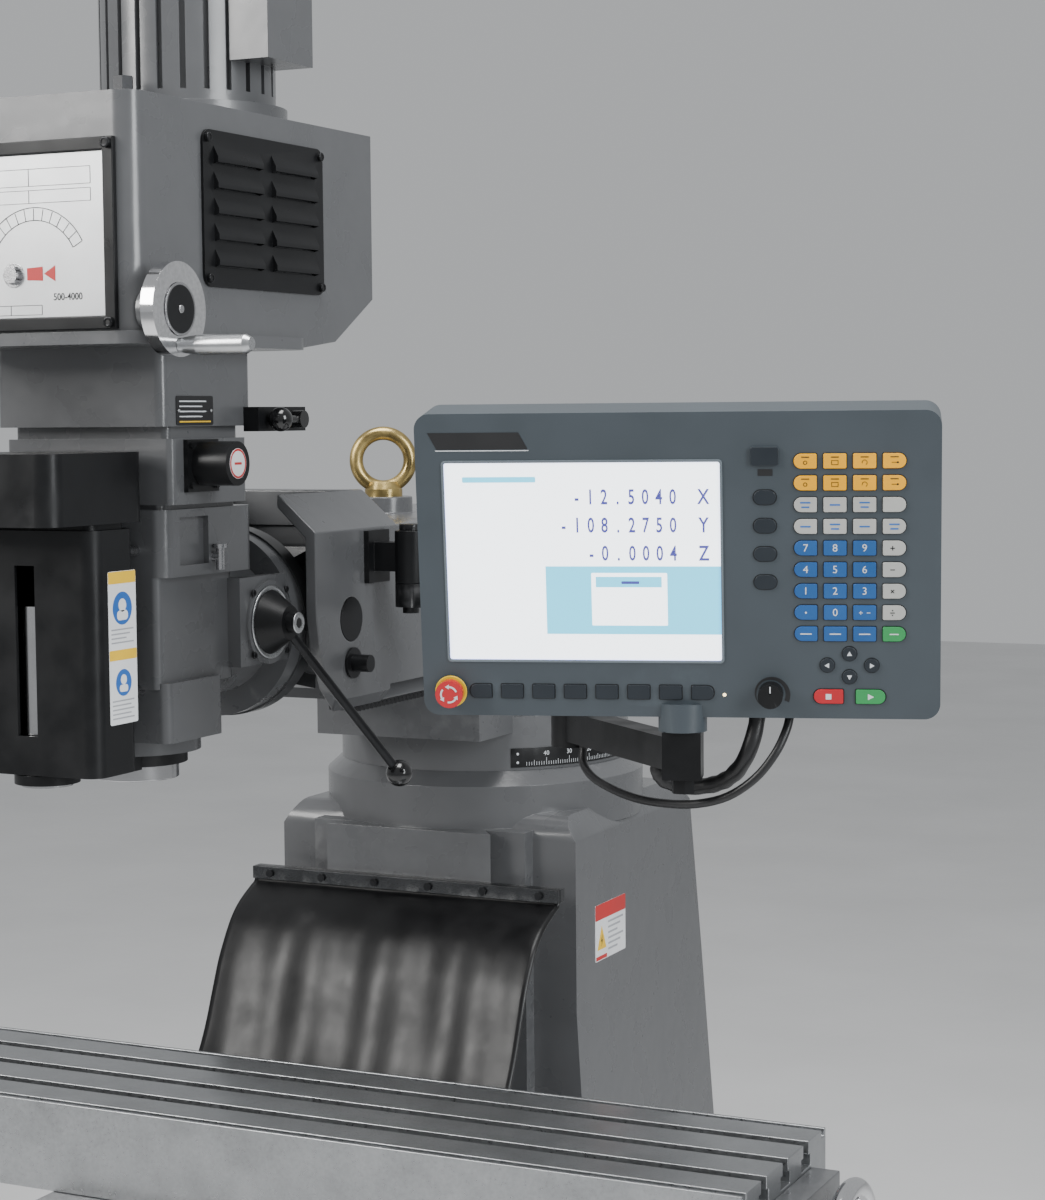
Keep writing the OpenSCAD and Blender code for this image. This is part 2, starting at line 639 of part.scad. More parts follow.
module arm_link_inner() color([0.07, 0.07, 0.07]) lead() difference() {
    union() {
        rod_z(1411, 1436.7, bar_p[0], bar_p[1], 17);
        rod_z(1430, 1497, bar_p[0], bar_p[1], 8);
        rod_z(1495.3, 1502, bar_p[0], bar_p[1], 12);
        rod_z(1404, 1412, bar_p[0], bar_p[1], 9);
        bar(bar_p, bend, 26, 1411, 1436);
        rod_z(1410, 1436.5, bend[0], bend[1], 15);
        bar(bend, elbow, 26, 1411, 1436);
        rod_z(1334.3, 1436, elbow[0], elbow[1], 20);
    }
    rod_z(1334, 1400, elbow[0], elbow[1], 8 + fit);
}

module arm_link_outer() color([0.07, 0.07, 0.07]) lead() difference() {
    union() {
        rod_z(1291.5, 1334, elbow[0], elbow[1], 20);
        rod_z(1330, 1398, elbow[0], elbow[1], 8);
        bar(elbow, pivot, 26, 1298, 1328);
        translate([pivot[0], pivot[1], 1291.5]) rotate([0, 0, face_yaw]) translate([-17.5, -17.5, 0])
            cube([35, 35, 43]);
        hex_z(1278, 1292, pivot[0], pivot[1], 11);
    }
    rod_z(1302, 1335, pivot[0], pivot[1], 8 + fit);
}

module on_face() {
    translate(face_c) rotate([face_tilt, 0, face_yaw]) children();
}

module knob(x, z, y0, y1, r) {
    translate([x, y1, z]) rotate([90, 0, 0]) cylinder(h = y1 - y0, r = r);
}

module plate(x0, z0, x1, z1, y0, y1, r) {
    translate([0, y1, 0]) rotate([90, 0, 0]) linear_extrude(y1 - y0) rr(x0, z0, x1, z1, r);
}

stop_x = -206;
low_z = -115;
dial_x = 83;
module console_shell() color([0.25, 0.28, 0.31]) lead() difference() {
    union() {
        on_face() {
            plate(-console_w / 2, -console_h / 2, console_w / 2, console_h / 2, 0, console_d, 14);
            plate(66.5, 90, 91.5, 107, -2, 1, 3);
            knob(stop_x, low_z, -3, 1, 14);
        }
        rod_z(1334.8, 1360, pivot[0], pivot[1], 22);
        rod_z(1304, 1340, pivot[0], pivot[1], 8);
    }
    on_face() {
        plate(-207.5, -87, 41, 95, -1, 3, 1.5);
        knob(stop_x, low_z, -4, 12, 8 + fit);
        knob(dial_x, low_z, -1, 10, 3 + fit);
    }
}

module console_screen() color([0.6, 0.75, 0.9]) lead() on_face() plate(-207.5, -87, 41, 95, 1.2, 3, 1.5);

module key(x, z, w, h, end) {
    rotate([90, 0, 0]) linear_extrude(2) {
        translate([x - w / 2 + (end < 0 ? h / 2 : 0), z - h / 2]) square([w - (end == 0 ? 0 : h / 2), h]);
        if (end != 0) translate([x + end * (w - h) / 2, z]) circle(h / 2);
    }
}

module console_keys() color([0.2, 0.35, 0.6]) lead() on_face() {
    for (c = [0:3], r = [0:8])
        key(114.4 + 25.7 * c, 94 - 19.3 * r, 20, 13.2, c == 0 ? -1 : c == 3 ? 1 : 0);
    for (i = [0:7]) key(-179 + 28.75 * i, low_z, 20, 13, 0);
    for (i = [0:3]) key(79, 62 - 25.3 * i, 20, 13, 1);
    for (p = [[152.5, -78.5], [133, -89], [172, -89], [152.5, -99.5]]) knob(p[0], p[1], -2, 0, 6.5);
    key(134, -117.5, 26, 13, -1);
    key(171, -117.5, 26, 13, 1);
}

module stop_button() color([0.75, 0.05, 0.05]) lead() on_face() {
    knob(stop_x, low_z, -7.5, 6, 8);
    knob(stop_x, low_z, -16, -7, 12.5);
}

module feed_knob() color([0.04, 0.04, 0.04]) lead() on_face() difference() {
    union() {
        knob(dial_x, low_z, -4, 8, 3);
        knob(dial_x, low_z, -15, -0.4, 11);
    }
    translate([dial_x - 0.8, -16, low_z + 2]) cube([1.6, 2, 10]);
}

// ---------- cables ----------
function unit(v) = v / norm(v);
function tangent(p, i) = unit(p[min(i + 1, len(p) - 1)] - p[max(i - 1, 0)]);
module sweep(p, d) {
    n = 10;
    rings = [for (i = [0:len(p) - 1]) let (t = tangent(p, i), u = unit(cross(t, [0.6, 0.8, 0])),
        v = cross(t, u)) for (k = [0:n - 1]) p[i] + d / 2 * (u * cos(360 * k / n) + v * sin(360 * k / n))];
    m = len(p) - 1;
    polyhedron(rings, concat([[for (k = [0:n - 1]) k]],
        [for (i = [0:m - 1], k = [0:n - 1]) [i * n + k, i * n + n + k, i * n + n + (k + 1) % n]],
        [for (i = [0:m - 1], k = [0:n - 1]) [i * n + k, i * n + n + (k + 1) % n, i * n + (k + 1) % n]],
        [[for (k = [n - 1:-1:0]) m * n + k]]));
}

module console_cable() color([0.03, 0.03, 0.03]) lead() sweep(cable_pts, cable_d);

module console_conduit() color([0.03, 0.03, 0.03]) lead() sweep(conduit_pts, conduit_d);

base_casting();
column_casting();
elevating_nut();
way_strip();
way_strip_screws();
way_cover();
knee_casting();
elevating_screw();
knee_crank();
saddle_casting();
cross_screw();
cross_wheel();
table();
table_brackets();
table_screw();
table_wheels();
turret_casting();
degree_scale();
ram_gibs();
ram_casting();
ram_rack();
eye_bolt();
knuckle_bolts();
arm_bracket();
adapter_casting();
head_casting();
belt_housing();
housing_frame();
nameplate();
vent_plate();
housing_screws();
motor();
fan_cover();
feed_cap();
range_bracket();
cover_lower();
cover_upper();
cover_studs();
quill();
quill_yoke();
push_tube();
ball_screw();
spindle();
drawbar();
speed_wheel();
wheel_handle();
feed_hub();
feed_rod();
feed_ball();
range_lever();
quill_lock();
arm_link_inner();
arm_link_outer();
console_shell();
console_screen();
console_keys();
stop_button();
feed_knob();
console_cable();
console_conduit();
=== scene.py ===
import math

import bmesh
import bpy
from mathutils import Matrix, Vector


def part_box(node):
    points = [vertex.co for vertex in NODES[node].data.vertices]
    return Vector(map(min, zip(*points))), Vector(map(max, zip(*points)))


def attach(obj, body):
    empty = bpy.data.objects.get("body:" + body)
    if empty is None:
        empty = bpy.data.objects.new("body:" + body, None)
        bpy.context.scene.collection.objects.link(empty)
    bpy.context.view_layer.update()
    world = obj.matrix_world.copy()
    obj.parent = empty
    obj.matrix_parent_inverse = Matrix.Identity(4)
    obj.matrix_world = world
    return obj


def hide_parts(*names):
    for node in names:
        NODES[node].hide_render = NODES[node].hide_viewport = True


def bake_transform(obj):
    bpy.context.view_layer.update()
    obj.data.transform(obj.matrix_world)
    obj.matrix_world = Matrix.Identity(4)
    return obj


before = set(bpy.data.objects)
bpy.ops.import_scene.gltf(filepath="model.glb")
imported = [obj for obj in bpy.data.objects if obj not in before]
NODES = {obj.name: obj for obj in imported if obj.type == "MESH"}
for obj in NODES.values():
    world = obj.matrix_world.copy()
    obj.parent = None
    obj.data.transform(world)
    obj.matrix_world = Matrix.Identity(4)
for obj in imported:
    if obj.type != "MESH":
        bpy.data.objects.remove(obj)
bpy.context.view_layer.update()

RAD = math.radians


def mm(*v):
    return Vector([x / 1000 for x in v])


# ---------- camera, at the photograph's viewing angle ----------
def make_camera():
    azimuth, pitch, roll, lens = RAD(25.5), RAD(4.3), RAD(-0.5), 73.5
    level = math.cos(pitch)
    look = Vector((-math.sin(azimuth) * level, math.cos(azimuth) * level, -math.sin(pitch)))
    right = Vector((math.cos(azimuth), math.sin(azimuth), 0))
    up = right.cross(look)
    side = math.cos(roll) * right + math.sin(roll) * up
    top = side.cross(look)
    data = bpy.data.cameras.new("Camera")
    data.lens, data.sensor_width, data.sensor_fit = lens, 36, "AUTO"
    data.clip_end = 60
    cam = bpy.data.objects.new("Camera", data)
    m = Matrix((side, top, -look)).transposed().to_4x4()
    m.translation = mm(1440.58, -2902.07, 1619.52)
    cam.matrix_world = m
    bpy.context.scene.collection.objects.link(cam)
    bpy.context.scene.camera = cam


make_camera()


# ---------- mesh helpers ----------
def link(name, bm, smooth=True):
    me = bpy.data.meshes.new(name)
    bmesh.ops.recalc_face_normals(bm, faces=bm.faces[:])
    bm.to_mesh(me)
    bm.free()
    for p in me.polygons:
        p.use_smooth = smooth
    o = bpy.data.objects.new(name, me)
    bpy.context.scene.collection.objects.link(o)
    return o


def finish_piece(o, mat, body, bevel=0.0, segments=2, angle=32):
    if bevel:
        b = o.modifiers.new("bevel", "BEVEL")
        b.width, b.segments, b.limit_method = bevel, segments, "ANGLE"
        b.angle_limit, b.harden_normals = RAD(angle), True
    w = o.modifiers.new("normals", "WEIGHTED_NORMAL")
    w.keep_sharp = True
    o.data.materials.clear()
    for m in mat if isinstance(mat, (list, tuple)) else [mat]:
        o.data.materials.append(m)
    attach(o, body)
    return o


def frame_of(origin, axis, up=(0, 0, 1)):
    """A matrix whose Z is axis, at origin in metres."""
    z = Vector(axis).normalized()
    ref = Vector(up)
    if abs(z.dot(ref)) > 0.98:
        ref = Vector((0, 1, 0))
    x = ref.cross(z).normalized()
    y = z.cross(x)
    m = Matrix((x, y, z)).transposed().to_4x4()
    m.translation = Vector(origin)
    return m


def add_loft(bm, rings, m, segments=32, hexes=()):
    """Rings of (radius, height) in mm about Z of m. A ring whose index is in hexes is six-sided."""
    loops = []
    for i, (r, h) in enumerate(rings):
        loop = []
        for k in range(segments):
            a = 2 * math.pi * k / segments
            radius = r
            if i in hexes:
                radius = r * math.cos(math.pi / 6) / math.cos((a % (math.pi / 3)) - math.pi / 6)
            loop.append(bm.verts.new(m @ mm(radius * math.cos(a), radius * math.sin(a), h)))
        loops.append(loop)
    for a, b in zip(loops, loops[1:]):
        for k in range(segments):
            bm.faces.new((a[k], a[(k + 1) % segments], b[(k + 1) % segments], b[k]))
    bm.faces.new(loops[0][::-1])
    bm.faces.new(loops[-1])


def add_box(bm, lo, hi, m=Matrix.Identity(4)):
    corners = [(x, y, z) for z in (lo[2], hi[2]) for y in (lo[1], hi[1]) for x in (lo[0], hi[0])]
    v = [bm.verts.new(m @ mm(*c)) for c in corners]
    for f in ((0, 2, 3, 1), (4, 5, 7, 6), (0, 1, 5, 4), (2, 6, 7, 3), (0, 4, 6, 2), (1, 3, 7, 5)):
        bm.faces.new([v[i] for i in f])


def outline(x0, z0, x1, z1, r, left=None, right=None, n=6):
    """A rounded rectangle as points; left or right gives those two corners their own radius."""
    rl, rr = (r if left is None else left), (r if right is None else right)
    pts = []
    for cx, cz, radius, start in ((x1 - rr, z1 - rr, rr, 0), (x0 + rl, z1 - rl, rl, 90),
                                  (x0 + rl, z0 + rl, rl, 180), (x1 - rr, z0 + rr, rr, 270)):
        for i in range(n + 1):
            a = RAD(start + 90 * i / n)
            pts.append((cx + radius * math.cos(a), cz + radius * math.sin(a)))
    return pts


def add_plate(bm, pts, y0, y1, m, crown=0.0):
    """A flat shape in the local XZ plane, from depth y1 to its face at y0, with an optional crowned edge."""
    cx = sum(p[0] for p in pts) / len(pts)
    cz = sum(p[1] for p in pts) / len(pts)
    rings = [(pts, y1), (pts, y0 + crown)]
    if crown:
        for k in (0.35, 0.8):
            inset = crown * k
            ring = []
            for x, z in pts:
                d = math.hypot(x - cx, z - cz) or 1
                ring.append((x - (x - cx) / d * inset, z - (z - cz) / d * inset))
            rings.append((ring, y0 + crown * (1 - k) ** 1.5))
    loops = [[bm.verts.new(m @ mm(x, y, z)) for x, z in ring] for ring, y in rings]
    n = len(pts)
    for a, b in zip(loops, loops[1:]):
        for k in range(n):
            bm.faces.new((a[k], a[(k + 1) % n], b[(k + 1) % n], b[k]))
    bm.faces.new(loops[0])
    bm.faces.new(loops[-1][::-1])


def add_text(bm, string, size, m, depth=0.15, width=1.0, heavy=0.0):
    """Numerals standing on the local XZ plane, centred, facing local -Y. size in mm."""
    curve = bpy.data.curves.new("text", "FONT")
    curve.body, curve.size, curve.align_x, curve.align_y = string, size / 1000, "CENTER", "CENTER"
    curve.extrude, curve.resolution_u, curve.offset = depth / 2000, 3, heavy / 1000
    o = bpy.data.objects.new("text", curve)
    bpy.context.scene.collection.objects.link(o)
    bpy.context.view_layer.update()
    me = o.to_mesh()
    turn = m @ Matrix.Rotation(RAD(90), 4, "X") @ Matrix.Diagonal((width, 1, 1, 1))
    verts = [bm.verts.new(turn @ v.co) for v in me.vertices]
    for p in me.polygons:
        try:
            bm.faces.new([verts[i] for i in p.vertices])
        except ValueError:
            pass
    o.to_mesh_clear()
    bpy.data.objects.remove(o)
    bpy.data.curves.remove(curve)


def smooth_line(points, per=6):
    """A Catmull-Rom line through points in mm, as Vectors in metres."""
    p = [Vector(x) / 1000 for x in points]
    p = [p[0] * 2 - p[1]] + p + [p[-1] * 2 - p[-2]]
    out = []
    for i in range(1, len(p) - 2):
        a, b, c, d = p[i - 1:i + 3]
        for k in range(per):
            t = k / per
            out.append(0.5 * (2 * b + (c - a) * t + (2 * a - 5 * b + 4 * c - d) * t * t
                              + (3 * b - a - 3 * c + d) * t ** 3))
    out.append(p[-2])
    return out


def tube(name, line, radius, segments=16, ribs=0.0, pitch=3.0):
    bm = bmesh.new()
    loops, run = [], 0.0
    for i, p in enumerate(line):
        t = (line[min(i + 1, len(line) - 1)] - line[max(i - 1, 0)]).normalized()
        u = t.cross(Vector((0.6, 0.8, 0))).normalized()
        v = t.cross(u)
        if i:
            run += (p - line[i - 1]).length
        r = radius * (1 - ribs * (0.5 + 0.5 * math.cos(run * 1000 / pitch * 2 * math.pi)))
        loops.append([bm.verts.new(p + r * (math.cos(a) * u + math.sin(a) * v))
                      for a in (2 * math.pi * k / segments for k in range(segments))])
    for a, b in zip(loops, loops[1:]):
        for k in range(segments):
            bm.faces.new((a[k], a[(k + 1) % segments], b[(k + 1) % segments], b[k]))
    bm.faces.new(loops[0][::-1])
    bm.faces.new(loops[-1])
    return link(name, bm)


# ---------- materials ----------
def new_material(name):
    mat = bpy.data.materials.new(name)
    mat.use_nodes = True
    tree = mat.node_tree
    shader = tree.nodes["Principled BSDF"]
    return mat, tree, shader


def node(tree, kind, **values):
    n = tree.nodes.new(kind)
    for k, v in values.items():
        if k in n.inputs:
            n.inputs[k].default_value = v
        else:
            setattr(n, k, v)
    return n


def noise(tree, coord, scale, detail=4.0, stretch=None, rough=0.55):
    src = coord
    if stretch:
        mp = node(tree, "ShaderNodeMapping")
        mp.inputs["Scale"].default_value = stretch
        tree.links.new(coord, mp.inputs["Vector"])
        src = mp.outputs["Vector"]
    n = node(tree, "ShaderNodeTexNoise", Scale=scale, Detail=detail, Roughness=rough)
    tree.links.new(src, n.inputs["Vector"])
    return n.outputs["Fac"]


def ramp(tree, fac, stops):
    r = tree.nodes.new("ShaderNodeValToRGB")
    r.color_ramp.elements[0].position, r.color_ramp.elements[0].color = stops[0][0], (*stops[0][1], 1)
    r.color_ramp.elements[1].position, r.color_ramp.elements[1].color = stops[-1][0], (*stops[-1][1], 1)
    for p, c in stops[1:-1]:
        e = r.color_ramp.elements.new(p)
        e.color = (*c, 1)
    tree.links.new(fac, r.inputs["Fac"])
    return r.outputs["Color"]


def bumps(tree, shader, layers):
    """layers of (height socket, distance in metres, strength)."""
    last = None
    for height, distance, strength in layers:
        b = node(tree, "ShaderNodeBump", Strength=strength, Distance=distance)
        tree.links.new(height, b.inputs["Height"])
        if last:
            tree.links.new(last, b.inputs["Normal"])
        last = b.outputs["Normal"]
    tree.links.new(last, shader.inputs["Normal"])


def grey(v):
    return (v, v, v)


def surface(name, color, rough, metal=0.0, vary=0.12, grain=350.0, grain_m=0.00006, wave=9.0, wave_m=0.0,
            stretch=None, rough_vary=0.1, coat=0.0, wear=None, spec=0.5, dust=0.0, strength=0.6):
    """A procedural finish: colour drift, fine grain, slow waviness, roughness change and worn edges."""
    mat, tree, shader = new_material(name)
    coord = node(tree, "ShaderNodeTexCoord").outputs["Object"]
    slow = noise(tree, coord, wave, 3.0)
    fine = noise(tree, coord, grain, 5.0, stretch)
    blotch = noise(tree, coord, wave * 2.5, 3.0, None, 0.5)
    lo = tuple(c * (1 - vary) for c in color)
    hi = tuple(min(1, c * (1 + vary)) for c in color)
    base = ramp(tree, blotch, [(0.3, lo), (0.7, hi)])
    if metal and stretch:
        mix = node(tree, "ShaderNodeMix", data_type="RGBA", blend_type="MULTIPLY")
        mix.inputs["Factor"].default_value = 0.6
        tree.links.new(base, mix.inputs[6])
        tree.links.new(ramp(tree, fine, [(0.3, grey(0.72)), (0.7, grey(1.0))]), mix.inputs[7])
        base = mix.outputs[2]
    if wear:
        geo = node(tree, "ShaderNodeNewGeometry")
        edge = node(tree, "ShaderNodeMapRange")
        edge.inputs["From Min"].default_value, edge.inputs["From Max"].default_value = 0.56, 0.68
        tree.links.new(geo.outputs["Pointiness"], edge.inputs["Value"])
        patch = node(tree, "ShaderNodeMapRange")
        patch.inputs["From Min"].default_value, patch.inputs["From Max"].default_value = 0.45, 0.7
        tree.links.new(noise(tree, coord, 60.0, 6.0), patch.inputs["Value"])
        both = node(tree, "ShaderNodeMath", operation="MULTIPLY")
        tree.links.new(edge.outputs["Result"], both.inputs[0])
        tree.links.new(patch.outputs["Result"], both.inputs[1])
        mix = node(tree, "ShaderNodeMix", data_type="RGBA")
        tree.links.new(both.outputs[0], mix.inputs["Factor"])
        tree.links.new(base, mix.inputs[6])
        mix.inputs[7].default_value = (*wear, 1)
        base = mix.outputs[2]
    tree.links.new(base, shader.inputs["Base Color"])
    shader.inputs["Metallic"].default_value = metal
    shader.inputs["Coat Weight"].default_value = coat
    shader.inputs["Coat Roughness"].default_value = 0.18
    shader.inputs["Specular IOR Level"].default_value = spec
    r = ramp(tree, fine if stretch else blotch,
             [(0.25, grey(max(0.03, rough - rough_vary))), (0.75, grey(min(1, rough + rough_vary)))])
    tree.links.new(r, shader.inputs["Roughness"])
    layers = [(fine, grain_m, strength)]
    if wave_m:
        layers.insert(0, (slow, wave_m, 0.5))
    bumps(tree, shader, layers)
    return mat


CAST = surface("cast_paint", (0.088, 0.090, 0.094), 0.29, vary=0.045, grain=420, grain_m=0.00007, wave=8,
               wave_m=0.005, coat=0.35, wear=(0.19, 0.192, 0.195), rough_vary=0.06, spec=0.45)
# a darker copy of the cast paint for the adapter, set back inside the ram's fork: painted shade
CAST_PAINTED_SHADE = surface("cast_paint_painted_shade", (0.034, 0.035, 0.037), 0.32, vary=0.12, grain=420, grain_m=0.00007,
                    wave=8, wave_m=0.004, coat=0.25, wear=(0.09, 0.09, 0.095), spec=0.35)
BLACK = surface("black_powder", (0.0065, 0.0068, 0.0075), 0.36, vary=0.18, grain=900, grain_m=0.00006,
                wave=10, wave_m=0.0012, coat=0.0, wear=(0.05, 0.05, 0.052), spec=0.28)
OXIDE = surface("black_oxide", (0.020, 0.0205, 0.022), 0.3, 0.6, vary=0.25, grain=600, grain_m=0.00003,
                wear=(0.16, 0.16, 0.16), spec=0.3)
STRIP = surface("blued_strip", (0.055, 0.057, 0.06), 0.28, 0.8, vary=0.2, grain=300, grain_m=0.00003,
                stretch=(1, 14, 14), wear=(0.25, 0.25, 0.25))
STEEL = surface("ground_steel", (0.52, 0.52, 0.53), 0.26, 1.0, vary=0.08, grain=260, grain_m=0.000015,
                stretch=(1, 14, 14), rough_vary=0.09)
TABLE = surface("ground_table", (0.40, 0.41, 0.42), 0.33, 0.95, vary=0.10, grain=220, grain_m=0.00002,
                stretch=(1, 26, 1), rough_vary=0.1)
TURNED = surface("turned_steel", (0.62, 0.62, 0.63), 0.2, 1.0, vary=0.06, grain=300, grain_m=0.00001,
                 stretch=(1, 1, 24), rough_vary=0.07)
CHROME = surface("polished_chrome", (0.80, 0.80, 0.81), 0.1, 1.0, vary=0.04, grain=240, grain_m=0.000006,
                 stretch=(20, 1, 1), rough_vary=0.05)
SATIN = surface("satin_chrome", (0.55, 0.56, 0.57), 0.3, 1.0, vary=0.06, grain=500, grain_m=0.00002,
                stretch=(18, 1, 1), rough_vary=0.08)
ALLOY = surface("brushed_alloy", (0.62, 0.63, 0.64), 0.34, 0.9, vary=0.05, grain=500, grain_m=0.00001,
                stretch=(1, 1, 40), rough_vary=0.08)
ZINC = surface("yellow_zinc", (0.40, 0.30, 0.12), 0.34, 0.9, vary=0.28, grain=260, grain_m=0.00006, wave=18,
               rough_vary=0.14, wear=(0.8, 0.72, 0.5))
RUBBER = surface("way_rubber", (0.0055, 0.0055, 0.006), 0.36, vary=0.15, grain=500, grain_m=0.00008, wave=14,
                 wave_m=0.001, rough_vary=0.05, spec=0.32)
CABLE = surface("cable_jacket", (0.010, 0.010, 0.011), 0.42, vary=0.2, grain=700, grain_m=0.00005)
BAKELITE = surface("phenolic", (0.006, 0.006, 0.0065), 0.16, vary=0.1, grain=80, grain_m=0.00002, coat=0.3)
CONSOLE = surface("console_coat", (0.046, 0.058, 0.068), 0.42, vary=0.05, grain=1300, grain_m=0.00007, wave=6,
                  rough_vary=0.05, wear=(0.09, 0.11, 0.125), coat=0.05)
TRIM = surface("console_trim", (0.13, 0.155, 0.175), 0.35, vary=0.06, grain=1300, grain_m=0.00006)
DARK_KEY = surface("key_dark", (0.009, 0.014, 0.020), 0.45, vary=0.12, grain=1500, grain_m=0.00004)
YELLOW_KEY = surface("key_yellow", (0.86, 0.40, 0.0), 0.45, vary=0.05, grain=1500, grain_m=0.00004)
GREY_KEY = surface("key_grey", (0.40, 0.40, 0.38), 0.48, vary=0.05, grain=1500, grain_m=0.00004)
BLUE_KEY = surface("key_blue", (0.012, 0.085, 0.27), 0.45, vary=0.06, grain=1500, grain_m=0.00004)
GREEN_KEY = surface("key_green", (0.02, 0.26, 0.07), 0.45, vary=0.06, grain=1500, grain_m=0.00004)
RED_KEY = surface("key_red", (0.46, 0.012, 0.02), 0.42, vary=0.06, grain=1500, grain_m=0.00004)
RED = surface("stop_red", (0.50, 0.012, 0.018), 0.24, vary=0.08, grain=120, grain_m=0.00003, coat=0.4)
YELLOW = surface("ring_yellow", (0.72, 0.46, 0.01), 0.35, vary=0.06, grain=700, grain_m=0.00004)
INK = surface("ink_dark", (0.01, 0.01, 0.011), 0.5, vary=0.1, grain=900, grain_m=0.00001)
INK_PALE = surface("ink_pale", (0.62, 0.64, 0.66), 0.5, vary=0.05, grain=900, grain_m=0.00001)
INK_BLUE = surface("ink_blue", (0.02, 0.12, 0.42), 0.45, vary=0.06, grain=900, grain_m=0.00001)
INK_RED = surface("ink_red", (0.50, 0.02, 0.02), 0.45, vary=0.06, grain=900, grain_m=0.00001)
INK_YELLOW = surface("ink_yellow", (0.80, 0.50, 0.02), 0.45, vary=0.06, grain=900, grain_m=0.00001)
INK_GREY = surface("ink_grey", (0.33, 0.34, 0.36), 0.5, vary=0.08, grain=900, grain_m=0.00001)
PAPER = surface("label_white", (0.74, 0.75, 0.76), 0.42, vary=0.03, grain=700, grain_m=0.00001, coat=0.2)
SHADOW = surface("bore_shadow", (0.004, 0.004, 0.0045), 0.6, vary=0.2, grain=300, grain_m=0.00003)


def glow(name, color, strength):
    mat, tree, shader = new_material(name)
    coord = node(tree, "ShaderNodeTexCoord").outputs["Object"]
    tint = ramp(tree, noise(tree, coord, 14.0, 2.0),
                [(0.3, tuple(c * 0.97 for c in color)), (0.7, color)])
    tree.links.new(tint, shader.inputs["Base Color"])
    tree.links.new(tint, shader.inputs["Emission Color"])
    shader.inputs["Emission Strength"].default_value = strength
    shader.inputs["Roughness"].default_value = 0.25
    return mat


LIT = glow("display_white", (0.90, 0.95, 1.0), 2.6)
LIT_CYAN = glow("display_cyan", (0.12, 0.66, 0.92), 1.15)
LIT_INK = glow("display_ink", (0.08, 0.08, 0.36), 0.4)
# blue glow for the bezel's inner wall, which is no lamp: painted light from the screen
BEZEL_PAINTED_GLOW = glow("bezel_painted_glow", (0.25, 0.32, 0.95), 0.5)
LED = glow("led_amber", (1.0, 0.8, 0.45), 3.0)

# ---------- cords first ----------
CABLE_POINTS = [[461, -712, 1297.6], [461, -712.5, 1290], [465, -721, 1278], [484, -740, 1268],
                [516, -766, 1262], [552, -792, 1259], [590, -814, 1260], [626, -830, 1264], [660, -838, 1274],
                [686, -836, 1292], [702, -828, 1314], [709, -818, 1334], [711, -812, 1349]]
CONDUIT_POINTS = [[586.5, -823, 1297.6], [586.7, -823, 1291], [591, -819, 1283], [601, -814, 1278.5],
                  [615, -811, 1277], [632, -812, 1279], [649, -817, 1285], [663, -823, 1295],
                  [673, -827, 1308], [679, -827, 1322], [682, -824, 1336], [683, -821, 1349]]


def make_cord(name, points, diameter, replaced, ribs=0.0, per=5):
    line = smooth_line(points, per)
    o = tube(name, line, diameter / 2000, 18, ribs)
    o.data.materials.append(CABLE)
    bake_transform(o)
    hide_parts(replaced)


make_cord("cable_run", CABLE_POINTS, 8, "console_cable")
make_cord("conduit_run", CONDUIT_POINTS, 16, "console_conduit",
          0.1)

# ---------- CAD nodes: finish and softened edges ----------
FINISH = {
    "base_casting": (CAST, 6), "column_casting": (CAST, 9), "elevating_nut": (CAST, 2),
    "way_strip": (STRIP, 0.4), "way_strip_screws": (OXIDE, 0.5), "knee_casting": (CAST, 5),
    "elevating_screw": (STEEL, 1), "knee_crank": (BLACK, 2), "saddle_casting": (CAST, 3),
    "cross_screw": (STEEL, 1), "cross_wheel": (CHROME, 1), "table": (TABLE, 1),
    "table_brackets": (CAST, 3), "table_screw": (STEEL, 1), "table_wheels": (CHROME, 1),
    "turret_casting": (CAST, 4), "degree_scale": (BLACK, 0), "ram_gibs": (CAST, 0.8),
    "ram_casting": (CAST, 5), "ram_rack": (OXIDE, 0.3), "eye_bolt": (ZINC, 0.8),
    # the adapter casting takes the darker cast paint: painted shade
    "knuckle_bolts": (OXIDE, 1), "arm_bracket": (BLACK, 1.5), "adapter_casting": (CAST_PAINTED_SHADE, 2),
    "head_casting": (CAST, 3.5), "belt_housing": (CAST, 6), "housing_frame": (BLACK, 1),
    "nameplate": (ALLOY, 0.2), "vent_plate": (BLACK, 0.6), "housing_screws": (OXIDE, 0.7),
    "motor": (CAST, 1.2), "fan_cover": (BLACK, 2), "feed_cap": (BLACK, 1.5),
    "range_bracket": (BLACK, 1.5), "cover_lower": (BLACK, 1.5), "cover_upper": (BLACK, 3),
    "cover_studs": (STEEL, 0.6), "quill": (TURNED, 1), "quill_yoke": (BLACK, 1),
    "push_tube": (TURNED, 1.5), "ball_screw": (STEEL, 0.6), "spindle": (TURNED, 0.8),
    "drawbar": (OXIDE, 0.8), "speed_wheel": (CHROME, 0.8), "wheel_handle": (SATIN, 0.8),
    "feed_hub": (BLACK, 1.2), "feed_rod": (OXIDE, 0.5), "feed_ball": (BAKELITE, 0),
    "range_lever": (BAKELITE, 0.4), "quill_lock": (STEEL, 0.6), "arm_link_inner": (BLACK, 1.5),
    "arm_link_outer": (BLACK, 2.5), "console_shell": (CONSOLE, 5), "console_screen": (LIT, 0),
    "stop_button": (RED, 2), "feed_knob": (BLACK, 1),
}
for name, (material, soft) in FINISH.items():
    o = NODES[name]
    if not o.data.materials:
        o.data.materials.append(material)
    for i in range(len(o.material_slots)):
        o.material_slots[i].material = material
    for p in o.data.polygons:
        p.use_smooth = True
    w = o.modifiers.new("weld", "WELD")
    w.merge_threshold = 0.00001
    if soft:
        b = o.modifiers.new("bevel", "BEVEL")
        b.width, b.segments, b.limit_method, b.angle_limit = soft / 1000, 3, "ANGLE", RAD(34)
        b.harden_normals, b.use_clamp_overlap = True, True
    n = o.modifiers.new("normals", "WEIGHTED_NORMAL")
    n.keep_sharp = True


